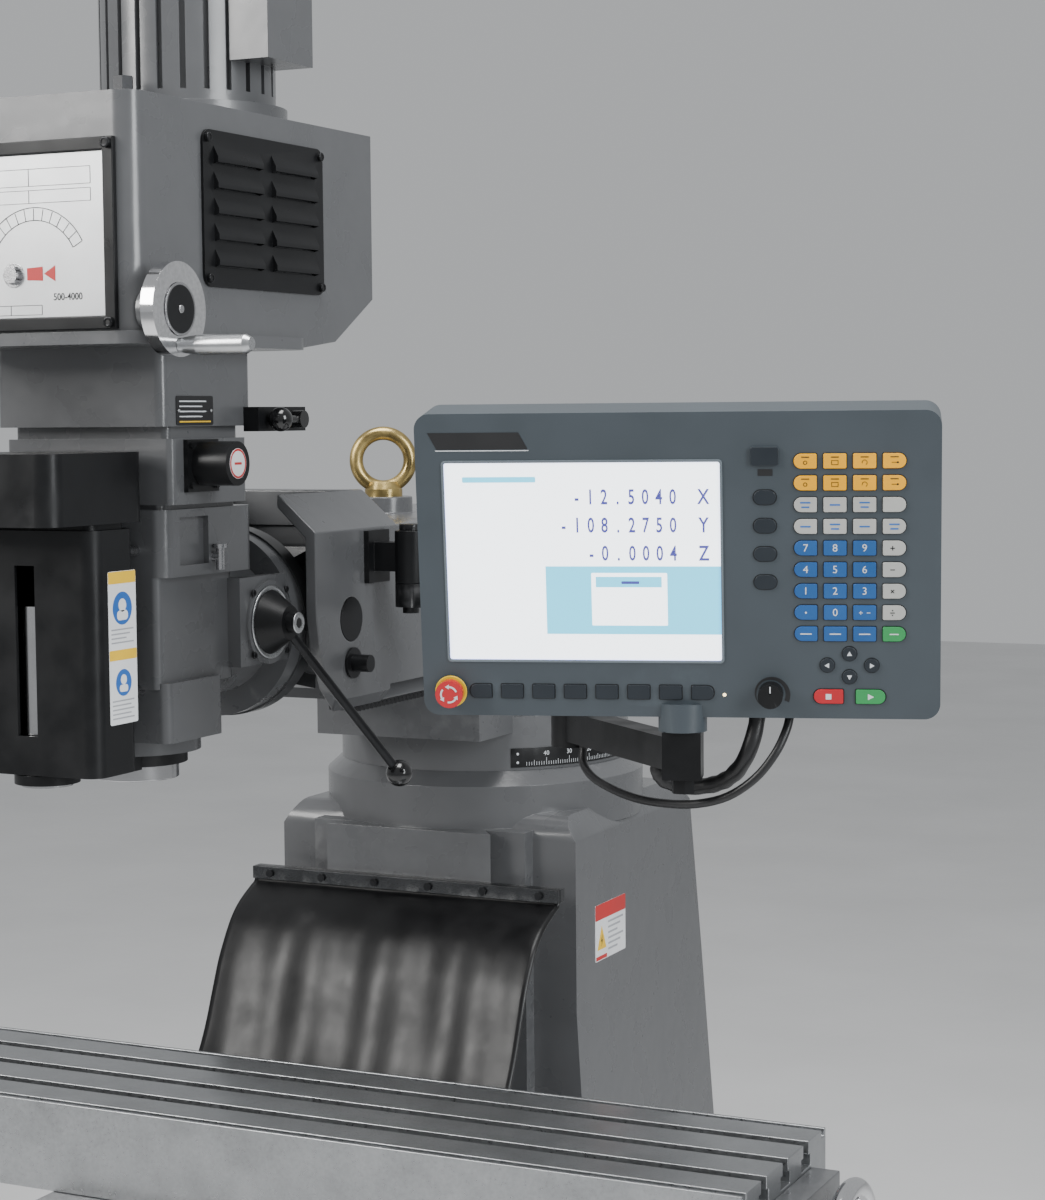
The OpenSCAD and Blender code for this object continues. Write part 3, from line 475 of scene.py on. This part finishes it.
# ---------- way cover ----------
def make_way_cover():
    foot, rise, thick = 771.5, 274.5, 0.0026
    # Y in mm, and the height above the saddle as a share of the rise to the strip
    drop = [(-236.5, 1), (-236.5, 0.9326), (-248.5, 0.9075), (-267, 0.875), (-285, 0.834),
            (-301, 0.778), (-316, 0.7), (-330, 0.612), (-345, 0.485), (-362, 0.34), (-382, 0.213),
            (-405, 0.104), (-425, 0.031), (-440, 0), (-462, 0)]
    smooth = smooth_line([(0, y, foot + rise * k) for y, k in drop], 4)
    bm = bmesh.new()
    across, half = 64, 0.2155
    n = len(smooth)
    grid = []
    run = [0.0]
    for a, b in zip(smooth, smooth[1:]):
        run.append(run[-1] + (b - a).length)
    for i, p in enumerate(smooth):
        t = (smooth[min(i + 1, n - 1)] - smooth[max(i - 1, 0)]).normalized()
        out = Vector((0, -t.z, t.y))
        if out.y > 0 and abs(t.z) > 0.2:
            out = -out
        if out.z < 0 and abs(t.z) <= 0.2:
            out = -out
        free = min(1, max(0, (run[i] - 0.02) / 0.08)) * min(1, max(0, (run[-1] - run[i] - 0.03) / 0.08))
        row = []
        for k in range(across + 1):
            x = -half + 2 * half * k / across
            wave = 0.0022 * math.sin(x * 38 + run[i] * 4) + 0.0012 * math.sin(x * 95 - run[i] * 6 + 1.3)
            sag = -0.004 * math.cos(x / half * math.pi / 2) * math.sin(run[i] / run[-1] * math.pi)
            row.append(bm.verts.new(p + Vector((x, 0, 0)) + out * (wave * free + sag * free)))
        grid.append(row)
    for i in range(n - 1):
        for k in range(across):
            bm.faces.new((grid[i][k], grid[i][k + 1], grid[i + 1][k + 1], grid[i + 1][k]))
    o = link("way_cover_rubber", bm)
    s = o.modifiers.new("thick", "SOLIDIFY")
    s.thickness, s.offset = thick, 0.0
    o.data.materials.append(RUBBER)
    deps = bpy.context.evaluated_depsgraph_get()
    me = bpy.data.meshes.new_from_object(o.evaluated_get(deps))
    o.modifiers.clear()
    o.data = me
    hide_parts("way_cover")
    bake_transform(o)


make_way_cover()

# ---------- console face: X across, Z up and -Y outwards, in mm about its middle ----------
CONSOLE_AT, YAW, TILT = mm(630, -886, 1485), RAD(16.8), RAD(8)
FACE = Matrix.Translation(CONSOLE_AT) @ Matrix.Rotation(YAW, 4, "Z") @ Matrix.Rotation(TILT, 4, "X")


def face_plates(name, shapes, mat, y0, y1, crown=0.0, body="console"):
    bm = bmesh.new()
    for pts in shapes:
        add_plate(bm, pts, y0, y1, FACE, crown)
    return finish_piece(link(name, bm), mat, body)


def rect(cx, cz, w, h, r=1.2, left=None, right=None):
    return outline(cx - w / 2, cz - h / 2, cx + w / 2, cz + h / 2, r, left, right)


def disc(cx, cz, r, n=32):
    turns = [2 * math.pi * k / n for k in range(n)]
    return [(cx + r * math.cos(a), cz + r * math.sin(a)) for a in turns]


def arc_band(cx, cz, r0, r1, a0, a1, taper=0.0, n=24):
    outer, inner = [], []
    for k in range(n + 1):
        a = RAD(a0 + (a1 - a0) * k / n)
        ro = r0 + (r1 - r0) * (1 - taper * (1 - k / n))
        outer.append((cx + ro * math.cos(a), cz + ro * math.sin(a)))
        inner.append((cx + r0 * math.cos(a), cz + r0 * math.sin(a)))
    return outer + inner[::-1]


COLS = [114.4 + 25.7 * c for c in range(4)]
ROWS = [94 - 19.3 * r for r in range(9)]
KEY_FACE, KEY_FOOT = -1.95, -0.02
KEY_INK = (-2.06, -1.9)  # front and back of the print on a key cap


def key_shape(c, r):
    left = 6.5 if c == 0 else None
    right = 6.5 if c == 3 else None
    return rect(COLS[c], ROWS[r], 20, 13.2, 1.4, left, right)


def grown(shape, kx, kz):
    """The shape grown about its middle, for the shadow gap round a key."""
    cx = sum(p[0] for p in shape) / len(shape)
    cz = sum(p[1] for p in shape) / len(shape)
    return [(x + (x - cx) * kx, z + (z - cz) * kz) for x, z in shape]


def key_group(name, mat, cells, extra=()):
    shapes = [key_shape(c, r) for c, r in cells] + list(extra)
    face_plates(name, shapes, mat, KEY_FACE, KEY_FOOT, 0.8)
    face_plates(name + "_gap", [grown(s, 0.07, 0.09) for s in shapes], SHADOW, -0.12, KEY_FOOT)


key_group("keys_yellow", YELLOW_KEY, [(c, r) for r in (0, 1) for c in range(4)])
key_group("keys_grey", GREY_KEY, [(c, r) for r in (2, 3) for c in range(4)] + [(3, r) for r in (4, 5, 6, 7)])
key_group("keys_blue", BLUE_KEY, [(c, r) for r in (4, 5, 6, 7, 8) for c in range(3)])
key_group("keys_green", GREEN_KEY, [(3, 8)], [rect(171, -117.5, 26, 13, 1.4, None, 6.4)])
key_group("keys_red", RED_KEY, [], [rect(134, -117.5, 26, 13, 1.4, 6.4, None)])
SOFT_X = [-179 + 28.75 * i for i in range(8)]
key_group("keys_soft", DARK_KEY, [],
          [rect(x, -115, 20, 13, 1.6, 6.0 if i == 0 else None, 6.0 if i == 7 else None)
           for i, x in enumerate(SOFT_X)])
key_group("keys_side", DARK_KEY, [], [rect(79, 62 - 25.3 * i, 20, 13, 6.4) for i in range(4)])
ARROWS = [(152.5, -78.5, 0), (133, -89, 90), (152.5, -99.5, 180), (172, -89, 270)]
key_group("keys_arrow", DARK_KEY, [], [disc(x, z, 6.5) for x, z, a in ARROWS])
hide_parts("console_keys")


def make_key_marks():
    pale, dark, blue, arrows = bmesh.new(), bmesh.new(), bmesh.new(), bmesh.new()
    digits = {(0, 4): "7", (1, 4): "8", (2, 4): "9", (0, 5): "4", (1, 5): "5", (2, 5): "6", (0, 6): "1",
              (1, 6): "2", (2, 6): "3", (1, 7): "0"}
    for (c, r), t in digits.items():
        add_text(pale, t, 9.5, FACE @ Matrix.Translation(mm(COLS[c], -2.0, ROWS[r])))
    add_plate(pale, disc(COLS[0], ROWS[7], 0.9, 12), *KEY_INK, FACE)
    for dx, dz, w, h in ((-3.4, 0, 3.2, 0.6), (3.4, 0, 3.2, 0.6), (-3.4, 0, 0.6, 3.2)):
        add_plate(pale, rect(COLS[2] + dx, ROWS[7] + dz, w, h, 0.1), *KEY_INK, FACE)
    for r, bars in ((4, ((4, 0.8, 0), (0.8, 4, 0))), (5, ((4, 0.8, 0),)), (6, ((4, 0.8, 45), (4, 0.8, -45))),
                    (7, ((4, 0.8, 0),))):
        for w, h, a in bars:
            m = FACE @ Matrix.Translation(mm(COLS[3] - 1.5, 0, ROWS[r])) @ Matrix.Rotation(RAD(a), 4, "Y")
            add_plate(dark, rect(0, 0, w, h, 0.1), *KEY_INK, m)
    for dz in (-2.2, 2.2):
        add_plate(dark, disc(COLS[3] - 1.5, ROWS[7] + dz, 0.6, 10), *KEY_INK, FACE)
    for c in range(4):
        for r in (0, 1):
            x, z = COLS[c], ROWS[r] - 1.2
            kind = (c + r * 4) % 4
            if kind == 0:
                add_plate(dark, arc_band(x, z, 1.2, 1.8, 0, 359), *KEY_INK, FACE)
            elif kind == 1:
                frame_bars = ((6, 0.5, 0, 1.8), (6, 0.5, 0, -1.8), (0.5, 4, -2.8, 0), (0.5, 4, 2.8, 0))
                for w, h, dx, dz in frame_bars:
                    add_plate(dark, rect(x + dx, z + dz, w, h, 0.1), *KEY_INK, FACE)
            elif kind == 2:
                add_plate(dark, arc_band(x, z, 1.9, 2.4, -60, 200), *KEY_INK, FACE)
            else:
                add_plate(dark, rect(x, z, 5, 0.5, 0.1), *KEY_INK, FACE)
                add_plate(dark, disc(x + 2.8, z, 0.9, 10), *KEY_INK, FACE)
            add_plate(dark, rect(x, ROWS[r] + 3.6, 7, 0.9, 0.2), *KEY_INK, FACE)
        for r in (2, 3):
            if (c, r) == (3, 2):
                continue
            lines = (0,) if (c + r) % 2 else (2, -2)
            for k, dz in enumerate(lines):
                add_plate(blue, rect(COLS[c], ROWS[r] + dz, 9 - 2 * k, 1.3, 0.3), *KEY_INK, FACE)
    for c in range(3):
        add_plate(pale, rect(COLS[c], ROWS[8], 10, 1.0, 0.3), *KEY_INK, FACE)
    add_plate(pale, rect(COLS[3], ROWS[8], 8, 1.0, 0.3), *KEY_INK, FACE)
    add_plate(pale, rect(134, -117.5, 5, 5, 0.3), *KEY_INK, FACE)
    add_plate(pale, [(168.6, -120.3), (174, -117.5), (168.6, -114.7)], *KEY_INK, FACE)
    for x, z, a in ARROWS:
        m = FACE @ Matrix.Translation(mm(x, 0, z)) @ Matrix.Rotation(-RAD(a), 4, "Y")
        add_plate(arrows, [(-2.3, -1.6), (2.3, -1.6), (0, 2.4)], -2.08, -1.9, m)
    marks = (("marks_pale", pale, INK_PALE), ("marks_dark", dark, INK),
             ("marks_blue", blue, INK_BLUE), ("marks_arrow", arrows, INK_PALE))
    for name, bm, mat in marks:
        finish_piece(link(name, bm, False), mat, "console")


make_key_marks()


def make_display():
    w0, w1, z0, z1 = -206.5, 40, -86, 94
    face_plates("display_field", [outline(w0, z0, w1, z1, 2)], LIT, 0.75, 1.15)
    face_plates("display_band", [outline(-117, -62, 40, 0, 0.4)], LIT_CYAN, 0.68, 0.74)
    face_plates("display_header", [outline(-190, 76, -124, 81, 1)], LIT_CYAN, 0.68, 0.74)
    face_plates("display_box", [outline(-76, -54, -8, -6, 1)], LIT, 0.60, 0.67)
    face_plates("display_box_head", [outline(-72, -19, -13, -9.5, 0.5)], LIT_CYAN, 0.54, 0.59)
    face_plates("display_box_rule", [outline(-49, -16, -33, -13.5, 0.5)], LIT_INK, 0.48, 0.53)
    bm = bmesh.new()
    for i, (value, axis) in enumerate((("-12.5040", "X"), ("-108.2750", "Y"), ("-0.0004", "Z"))):
        z = 62 - 25.4 * i
        x = -2
        for ch in reversed(value):
            add_text(bm, ch, 19, FACE @ Matrix.Translation(mm(x, 0.62, z)), 0.04, 0.66, 0.32)
            x -= 12.2
        add_text(bm, axis, 19, FACE @ Matrix.Translation(mm(25, 0.62, z)), 0.04, 0.74, 0.32)
    finish_piece(link("display_digits", bm, False), LIT_INK, "console")
    bm = bmesh.new()
    ring_o, ring_i = outline(-208.5, -88, 42, 96, 3.5), outline(-206.2, -85.7, 39.7, 93.7, 2)
    n = len(ring_o)
    levels = [(ring_o, -0.02), (ring_o, -0.9), (ring_i, -0.5), (ring_i, 0.7)]
    loops = [[bm.verts.new(FACE @ mm(x, y, z)) for x, z in pts] for pts, y in levels]
    for a, b in zip(loops, loops[1:]):
        for k in range(n):
            bm.faces.new((a[k], a[(k + 1) % n], b[(k + 1) % n], b[k]))
    o = link("display_bezel", bm)
    finish_piece(o, [TRIM, BEZEL_PAINTED_GLOW], "console")
    # the bezel's inner wall gets the blue glow: painted light
    for p in o.data.polygons[2 * n:]:
        p.material_index = 1


make_display()
face_plates("badge_blank", [[(-212, 106), (-130, 106), (-138, 121), (-220, 121)]], INK,
            -0.35, -0.02)
face_plates("badge_rule", [[(-213, 104.4), (-129, 104.4), (-129.4, 105.2), (-213.4, 105.2)]],
            INK_PALE, -0.3, -0.02)
face_plates("port_cover", [outline(67, 90.6, 91, 106.6, 1.6)], DARK_KEY, -3.2, -1.9, 0.6)
face_plates("port_mark", [outline(73, 81, 86, 87, 0.6)], INK, -0.2, -0.02)
face_plates("led_lamp", [disc(41.7, -117, 1.6, 16)], LED, -0.8, -0.02, 0.5)
face_plates("dial_scale", [arc_band(83, -116, 13.2, 17.6, 235, -25, 0.9)], INK, -0.2, -0.02)
face_plates("stop_ring", [disc(-206, -115, 14.6, 48)], YELLOW, -4.6, -2.9, 0.8)


def make_stop_marks():
    bm = bmesh.new()
    for a in (20, 140, 260):
        add_plate(bm, arc_band(-206, -115, 6.4, 8.0, a, a + 70), -16.35, -15.7, FACE)
        end = RAD(a + 70)
        m = FACE @ Matrix.Translation(mm(-206 + 7.2 * math.cos(end), 0, -115 + 7.2 * math.sin(end)))
        m = m @ Matrix.Rotation(-end, 4, "Y")
        add_plate(bm, [(-2.2, -0.2), (2.2, -0.2), (0, 3.2)], -16.35, -15.7, m)
    finish_piece(link("stop_arrows", bm, False), INK_PALE, "stop")
    bm = bmesh.new()
    add_plate(bm, rect(83, -108.5, 1.0, 6, 0.2), -15.4, -14.9, FACE)
    finish_piece(link("dial_pointer", bm, False), INK_PALE, "dial")


make_stop_marks()

# ---------- head: plates, labels and small fittings ----------
X = Vector((1, 0, 0))
NODES_BOX = {n: [Vector(v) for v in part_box(n)] for n in FINISH}
COVER_X = NODES_BOX["cover_lower"][1].x * 1000
COLUMN_X = 209
HUB_Y, HUB_Z = -702, 1406


def facing(origin, normal, up=(0, 0, 1)):
    """A matrix whose local -Y is normal and local Z is up, at origin in mm."""
    y = -Vector(normal).normalized()
    z = Vector(up)
    x = y.cross(z).normalized()
    z = x.cross(y)
    m = Matrix((x, y, z)).transposed().to_4x4()
    m.translation = mm(*origin)
    return m


def flat_art(name, m, shapes, mat, y0, body, thick=0.12, crown=0.0):
    bm = bmesh.new()
    for pts in shapes:
        add_plate(bm, pts, y0, y0 + thick, m, crown)
    return finish_piece(link(name, bm, bool(crown)), mat, body)


PLATE = facing((0, NODES_BOX["nameplate"][0].y * 1000, 1690), (0, -1, 0))


def make_nameplate():
    red = [[(9.5, 61.8), (27.6, 60.9), (27.6, 74.2), (9.5, 73.2)], [(29, 67.5), (42, 60), (42, 75)]]
    red.append([(-29.5, 67.5), (-42, 60), (-42, 75)][::-1])
    flat_art("plate_window", PLATE, red, INK_RED, -0.35, "head", 0.3)
    dark = []
    for x0, x1, z0, z1 in ((-60, 26, 29, 38), (-84, 84, 150, 166), (-84, 84, 134, 146)):
        dark += [rect((x0 + x1) / 2, z0, x1 - x0, 0.5, 0.1), rect((x0 + x1) / 2, z1, x1 - x0, 0.5, 0.1)]
        dark += [rect(x, (z0 + z1) / 2, 0.5, z1 - z0, 0.1) for x in (x0, x1, x0 + (x1 - x0) * 0.58)]
    dark += [arc_band(18.5, 67.5, 50 + 4 * k, 50.8 + 4 * k, 28, 152) for k in (0, 3)]
    ticks = []
    for k in range(13):
        a = RAD(28 + 124 / 12 * k)
        m = Matrix.Translation(mm(18.5 + 56 * math.cos(a), 0, 67.5 + 56 * math.sin(a)))
        ticks.append(PLATE @ m @ Matrix.Rotation(RAD(90) - a, 4, "Y"))
    flat_art("plate_print", PLATE, dark, INK, -0.3, "head", 0.25)
    bm = bmesh.new()
    for m in ticks:
        add_plate(bm, rect(0, 0, 0.6, 11, 0.1), -0.3, -0.05, m)
    add_text(bm, "500-4000", 9.5, PLATE @ Matrix.Translation(mm(56, -0.2, 45)), 0.15, 0.92, 0.1)
    add_text(bm, "60-500", 9.5, PLATE @ Matrix.Translation(mm(-62, -0.2, 45)), 0.15, 0.92, 0.1)
    finish_piece(link("plate_numbers", bm, False), INK, "head")


make_nameplate()


def make_screw_faces():
    """Dished sockets on the visible screws, as small turned heads seated on the CAD ones."""
    bm, hexes = bmesh.new(), bmesh.new()
    front = NODES_BOX["housing_screws"][0].y * 1000
    spots = [((x, front, z), (0, -1, 0), 5) for x in (-106, 106) for z in (1710, 1876)]
    spots += [((136, y, z), (1, 0, 0), 4.5) for y in (-863, -647) for z in (1756, 1892)]
    for p, n, r in spots:
        m = frame_of(mm(*p), n)
        add_loft(bm, [(r, -0.4), (r, 0.3), (r * 0.85, 0.9), (r * 0.56, 0.9), (r * 0.52, 0.2)], m, 36)
        add_loft(hexes, [(r * 0.5, 0.1), (r * 0.5, 0.32)], m, 36, (0, 1))
    finish_piece(link("socket_heads", bm), OXIDE, "head")
    finish_piece(link("socket_bores", hexes), SHADOW, "head")
    bm = bmesh.new()
    m = frame_of(mm(-6, NODES_BOX["nameplate"][0].y * 1000, 1757), (0, -1, 0))
    add_loft(bm, [(12, 0.0), (12, 0.5), (11.6, 0.9), (6, 0.9)], m, 40)
    add_loft(bm, [(9.2, 0.8), (9.2, 5.2), (8.6, 6.0), (7.9, 6.4)], m, 48, (0, 1, 2))
    finish_piece(link("plate_bolt", bm), STEEL, "head", 0.0002)


make_screw_faces()


def make_wheel_disc():
    """The black disc, its trim ring and its screw in the middle of the speed wheel."""
    bm = bmesh.new()
    lo, hi = NODES_BOX["speed_wheel"]
    m = frame_of(Vector((hi.x, (lo.y + hi.y) / 2, (lo.z + hi.z) / 2)), X)
    add_loft(bm, [(23, -0.5), (22.6, 0.5), (21.8, 0.8), (4.5, 0.8), (4.1, 0.3)], m, 48)
    finish_piece(link("wheel_disc", bm), BLACK, "speed_wheel_body")
    bm = bmesh.new()
    add_loft(bm, [(4.0, 0.2), (4.0, 1.4), (3.2, 2.0)], m, 36)
    add_loft(bm, [(25.2, 0.0), (25.0, 0.35), (24.0, 0.55), (23.6, 0.2)], m, 48)
    finish_piece(link("wheel_centre_screw", bm), STEEL, "speed_wheel_body")


make_wheel_disc()


def make_side_labels():
    cap = NODES_BOX["feed_cap"][1].x * 1000
    m = facing((cap, -836, 1575), (1, 0, 0))
    flat_art("cap_disc", m, [disc(0, 0, 15, 40)], PAPER, -0.4, "head", 0.4)
    flat_art("cap_ring", m, [arc_band(0, 0, 12.6, 14.6, 0, 359.9, 0, 48), rect(0, 0, 13, 2.4, 0.4)], INK_RED,
             -0.52, "head", 0.1)
    m = facing((100, -843, 1627.5), (1, 0, 0))
    flat_art("neck_plate", m, [outline(-33, -14.5, 33, 14.5, 2)], INK, -0.9, "head", 0.85, 0.3)
    lines = [outline(-28, 8.5 - 5 * k, 20 - 7 * (k % 2), 9.8 - 5 * k, 0.4) for k in range(4)]
    flat_art("neck_plate_lines", m, lines, INK_PALE, -1.0, "head", 0.1)
    flat_art("neck_plate_rule", m, [outline(-28, -11.6, 28, -10.2, 0.4)], INK_YELLOW, -1.0,
             "head", 0.1)
    bm = bmesh.new()
    for dx in (-29, 29):
        add_loft(bm, [(1.8, 0), (1.6, 0.7), (0.9, 1.1)], frame_of(m @ mm(dx, -0.8, 0), X), 20)
    finish_piece(link("neck_plate_rivets", bm), ALLOY, "head")
    m = facing((COVER_X, -942.5, 1400), (1, 0, 0))
    flat_art("cover_label", m, [outline(-23, -74, 23, 74, 2)], PAPER, -0.35, "head", 0.33)
    flat_art("cover_label_bars", m, [outline(-22.6, 62, 22.6, 73.6, 1), outline(-22.6, -12, 22.6, -2, 1)],
             INK_YELLOW, -0.45, "head", 0.1)
    flat_art("cover_label_disc", m, [disc(0, 38, 16, 40), disc(0, -34, 13, 40)], INK_BLUE, -0.45, "head",
             0.1)
    flat_art("cover_label_shape", m, [disc(0, 41, 6.4, 24), outline(-9, 26.5, 9, 36, 4), disc(0, -31, 5, 24),
                                      outline(-7, -43, 7, -36, 3)], PAPER, -0.55, "head", 0.1)
    rows = [outline(-19, 17 - 4.2 * k, 18 - 6 * (k % 3), 18.4 - 4.2 * k, 0.3) for k in range(4)]
    rows += [outline(-19, -52 - 4.2 * k, 17 - 5 * (k % 2), -50.6 - 4.2 * k, 0.3) for k in range(5)]
    flat_art("cover_label_rows", m, rows, INK_GREY, -0.45, "head", 0.1)


make_side_labels()


def make_feed_hub():
    m = frame_of(mm(NODES_BOX["feed_hub"][1].x * 1000, HUB_Y, HUB_Z), X, (0, 1, 0))
    bm = bmesh.new()
    add_loft(bm, [(11.2, -0.6), (11.0, 0.4), (10.2, 1.0), (6.2, 1.0), (6.0, 0.4)], m, 40)
    finish_piece(link("hub_nose", bm), SATIN, "feed_lever")
    bm = bmesh.new()
    add_loft(bm, [(5.8, 0.3), (5.8, 0.6)], m, 36, (0, 1))
    finish_piece(link("hub_socket", bm), SHADOW, "feed_lever")
    m = frame_of(mm(98.4, HUB_Y, HUB_Z), X, (0, 1, 0))
    bm = bmesh.new()
    add_loft(bm, [(38.5, -0.3), (38.5, 1.0), (37.8, 1.6), (35.2, 1.6), (34.9, 0.4)], m, 72)
    finish_piece(link("hub_collar", bm), SATIN, "feed_lever")
    bm = bmesh.new()
    for k in range(4):
        a = RAD(45 + 90 * k)
        s = frame_of(m @ mm(46 * math.cos(a), 46 * math.sin(a), -1.0), X)
        add_loft(bm, [(3.6, -0.2), (3.6, 1.6), (3.0, 2.2), (1.9, 2.2), (1.8, 1.2)], s, 28)
    finish_piece(link("hub_flange_screws", bm), OXIDE, "head")


make_feed_hub()


def make_degree_scale():
    lo, hi = NODES_BOX["degree_scale"]
    radius, z0 = hi.x * 1000 + 0.02, lo.z * 1000
    bm, nums = bmesh.new(), bmesh.new()
    for i in range(-48, 9):
        a = RAD(i)
        h = 9 if i % 10 == 0 else (6.5 if i % 5 == 0 else 4.5)
        p = (radius * math.cos(a), radius * math.sin(a), z0 + 2)
        m = facing(p, (math.cos(a), math.sin(a), 0))
        add_plate(bm, outline(-0.28, 0, 0.28, h, 0.05), -0.08, 0.1, m)
        if i % 10 == 0:
            add_text(nums, str(abs(i)), 8, facing((p[0], p[1], z0 + 16.4), (math.cos(a), math.sin(a), 0)))
    for a, dz in ((-51.5, 6), (-51.5, 17), (9, 6), (9, 17)):
        out = (math.cos(RAD(a)), math.sin(RAD(a)), 0)
        m = frame_of(mm(radius * out[0], radius * out[1], z0 + dz), out)
        add_loft(nums, [(1.7, -0.2), (1.6, 0.5), (0.9, 0.9)], m, 20)
    finish_piece(link("scale_ticks", bm, False), INK_PALE, "turret")
    finish_piece(link("scale_numbers", nums, False), INK_PALE, "turret")


make_degree_scale()


def make_column_label():
    m = facing((COLUMN_X, -68, 967), (1, 0, 0))
    flat_art("column_label", m, [outline(-48, -36, 48, 36, 2)], PAPER, -0.4, "base", 0.38)
    flat_art("column_label_red", m, [outline(-48, 16, 48, 36, 2), outline(-46, -35, -12, -30, 1)], INK_RED,
             -0.5, "base", 0.1)
    rows = [outline(-8, 8 - 7 * k, 40 - 9 * (k % 3), 10.6 - 7 * k, 0.5) for k in range(6)]
    flat_art("column_label_rows", m, rows, INK_GREY, -0.5, "base", 0.1)
    tri = [(-42, -22), (-14, -22), (-28, 8)]
    flat_art("column_label_mark", m, [tri], INK_YELLOW, -0.5, "base", 0.1)
    flat_art("column_label_bolt", m, [[(-29.2, -9), (-26, -3), (-27.4, -10), (-25, -10), (-29.4, -19),
                                       (-28.2, -12), (-31, -12)]], INK, -0.6, "base", 0.09)


make_column_label()


# ---------- floor and light ----------
def make_floor():
    mat, tree, shader = new_material("studio_floor")
    coord = node(tree, "ShaderNodeTexCoord").outputs["Object"]
    tree.links.new(ramp(tree, noise(tree, coord, 1.5, 5.0), [(0.3, grey(0.66)), (0.7, grey(0.72))]),
                   shader.inputs["Base Color"])
    tree.links.new(ramp(tree, noise(tree, coord, 30.0, 5.0), [(0.3, grey(0.55)), (0.7, grey(0.7))]),
                   shader.inputs["Roughness"])
    bumps(tree, shader, [(noise(tree, coord, 200.0), 0.0003, 0.3)])
    bm = bmesh.new()
    bmesh.ops.create_grid(bm, x_segments=8, y_segments=8, size=14)
    o = link("studio_floor", bm)
    o.data.materials.append(mat)


make_floor()
world = bpy.data.worlds.new("studio")
bpy.context.scene.world = world
world.use_nodes = True
background = world.node_tree.nodes["Background"]
background.inputs["Color"].default_value = (0.93, 0.95, 0.97, 1)
background.inputs["Strength"].default_value = 0.5


def area(name, location, target, size, power, color=(1, 1, 1)):
    data = bpy.data.lights.new(name, "AREA")
    data.shape, data.size, data.size_y = "RECTANGLE", size[0], size[1]
    data.energy, data.color = power, color
    o = bpy.data.objects.new(name, data)
    o.location = location
    o.rotation_euler = (Vector(target) - Vector(location)).to_track_quat("-Z", "Y").to_euler()
    bpy.context.scene.collection.objects.link(o)


area("key", (-2.0, -3.4, 3.2), (0.1, -0.6, 1.3), (1.2, 2.0), 130, (1, 0.99, 0.97))
area("fill", (3.8, -1.8, 2.6), (0.2, -0.5, 1.2), (1.2, 2.4), 120, (0.95, 0.98, 1))
area("top", (0.3, -1.2, 4.2), (0.0, -0.5, 1.0), (1.8, 1.8), 130)
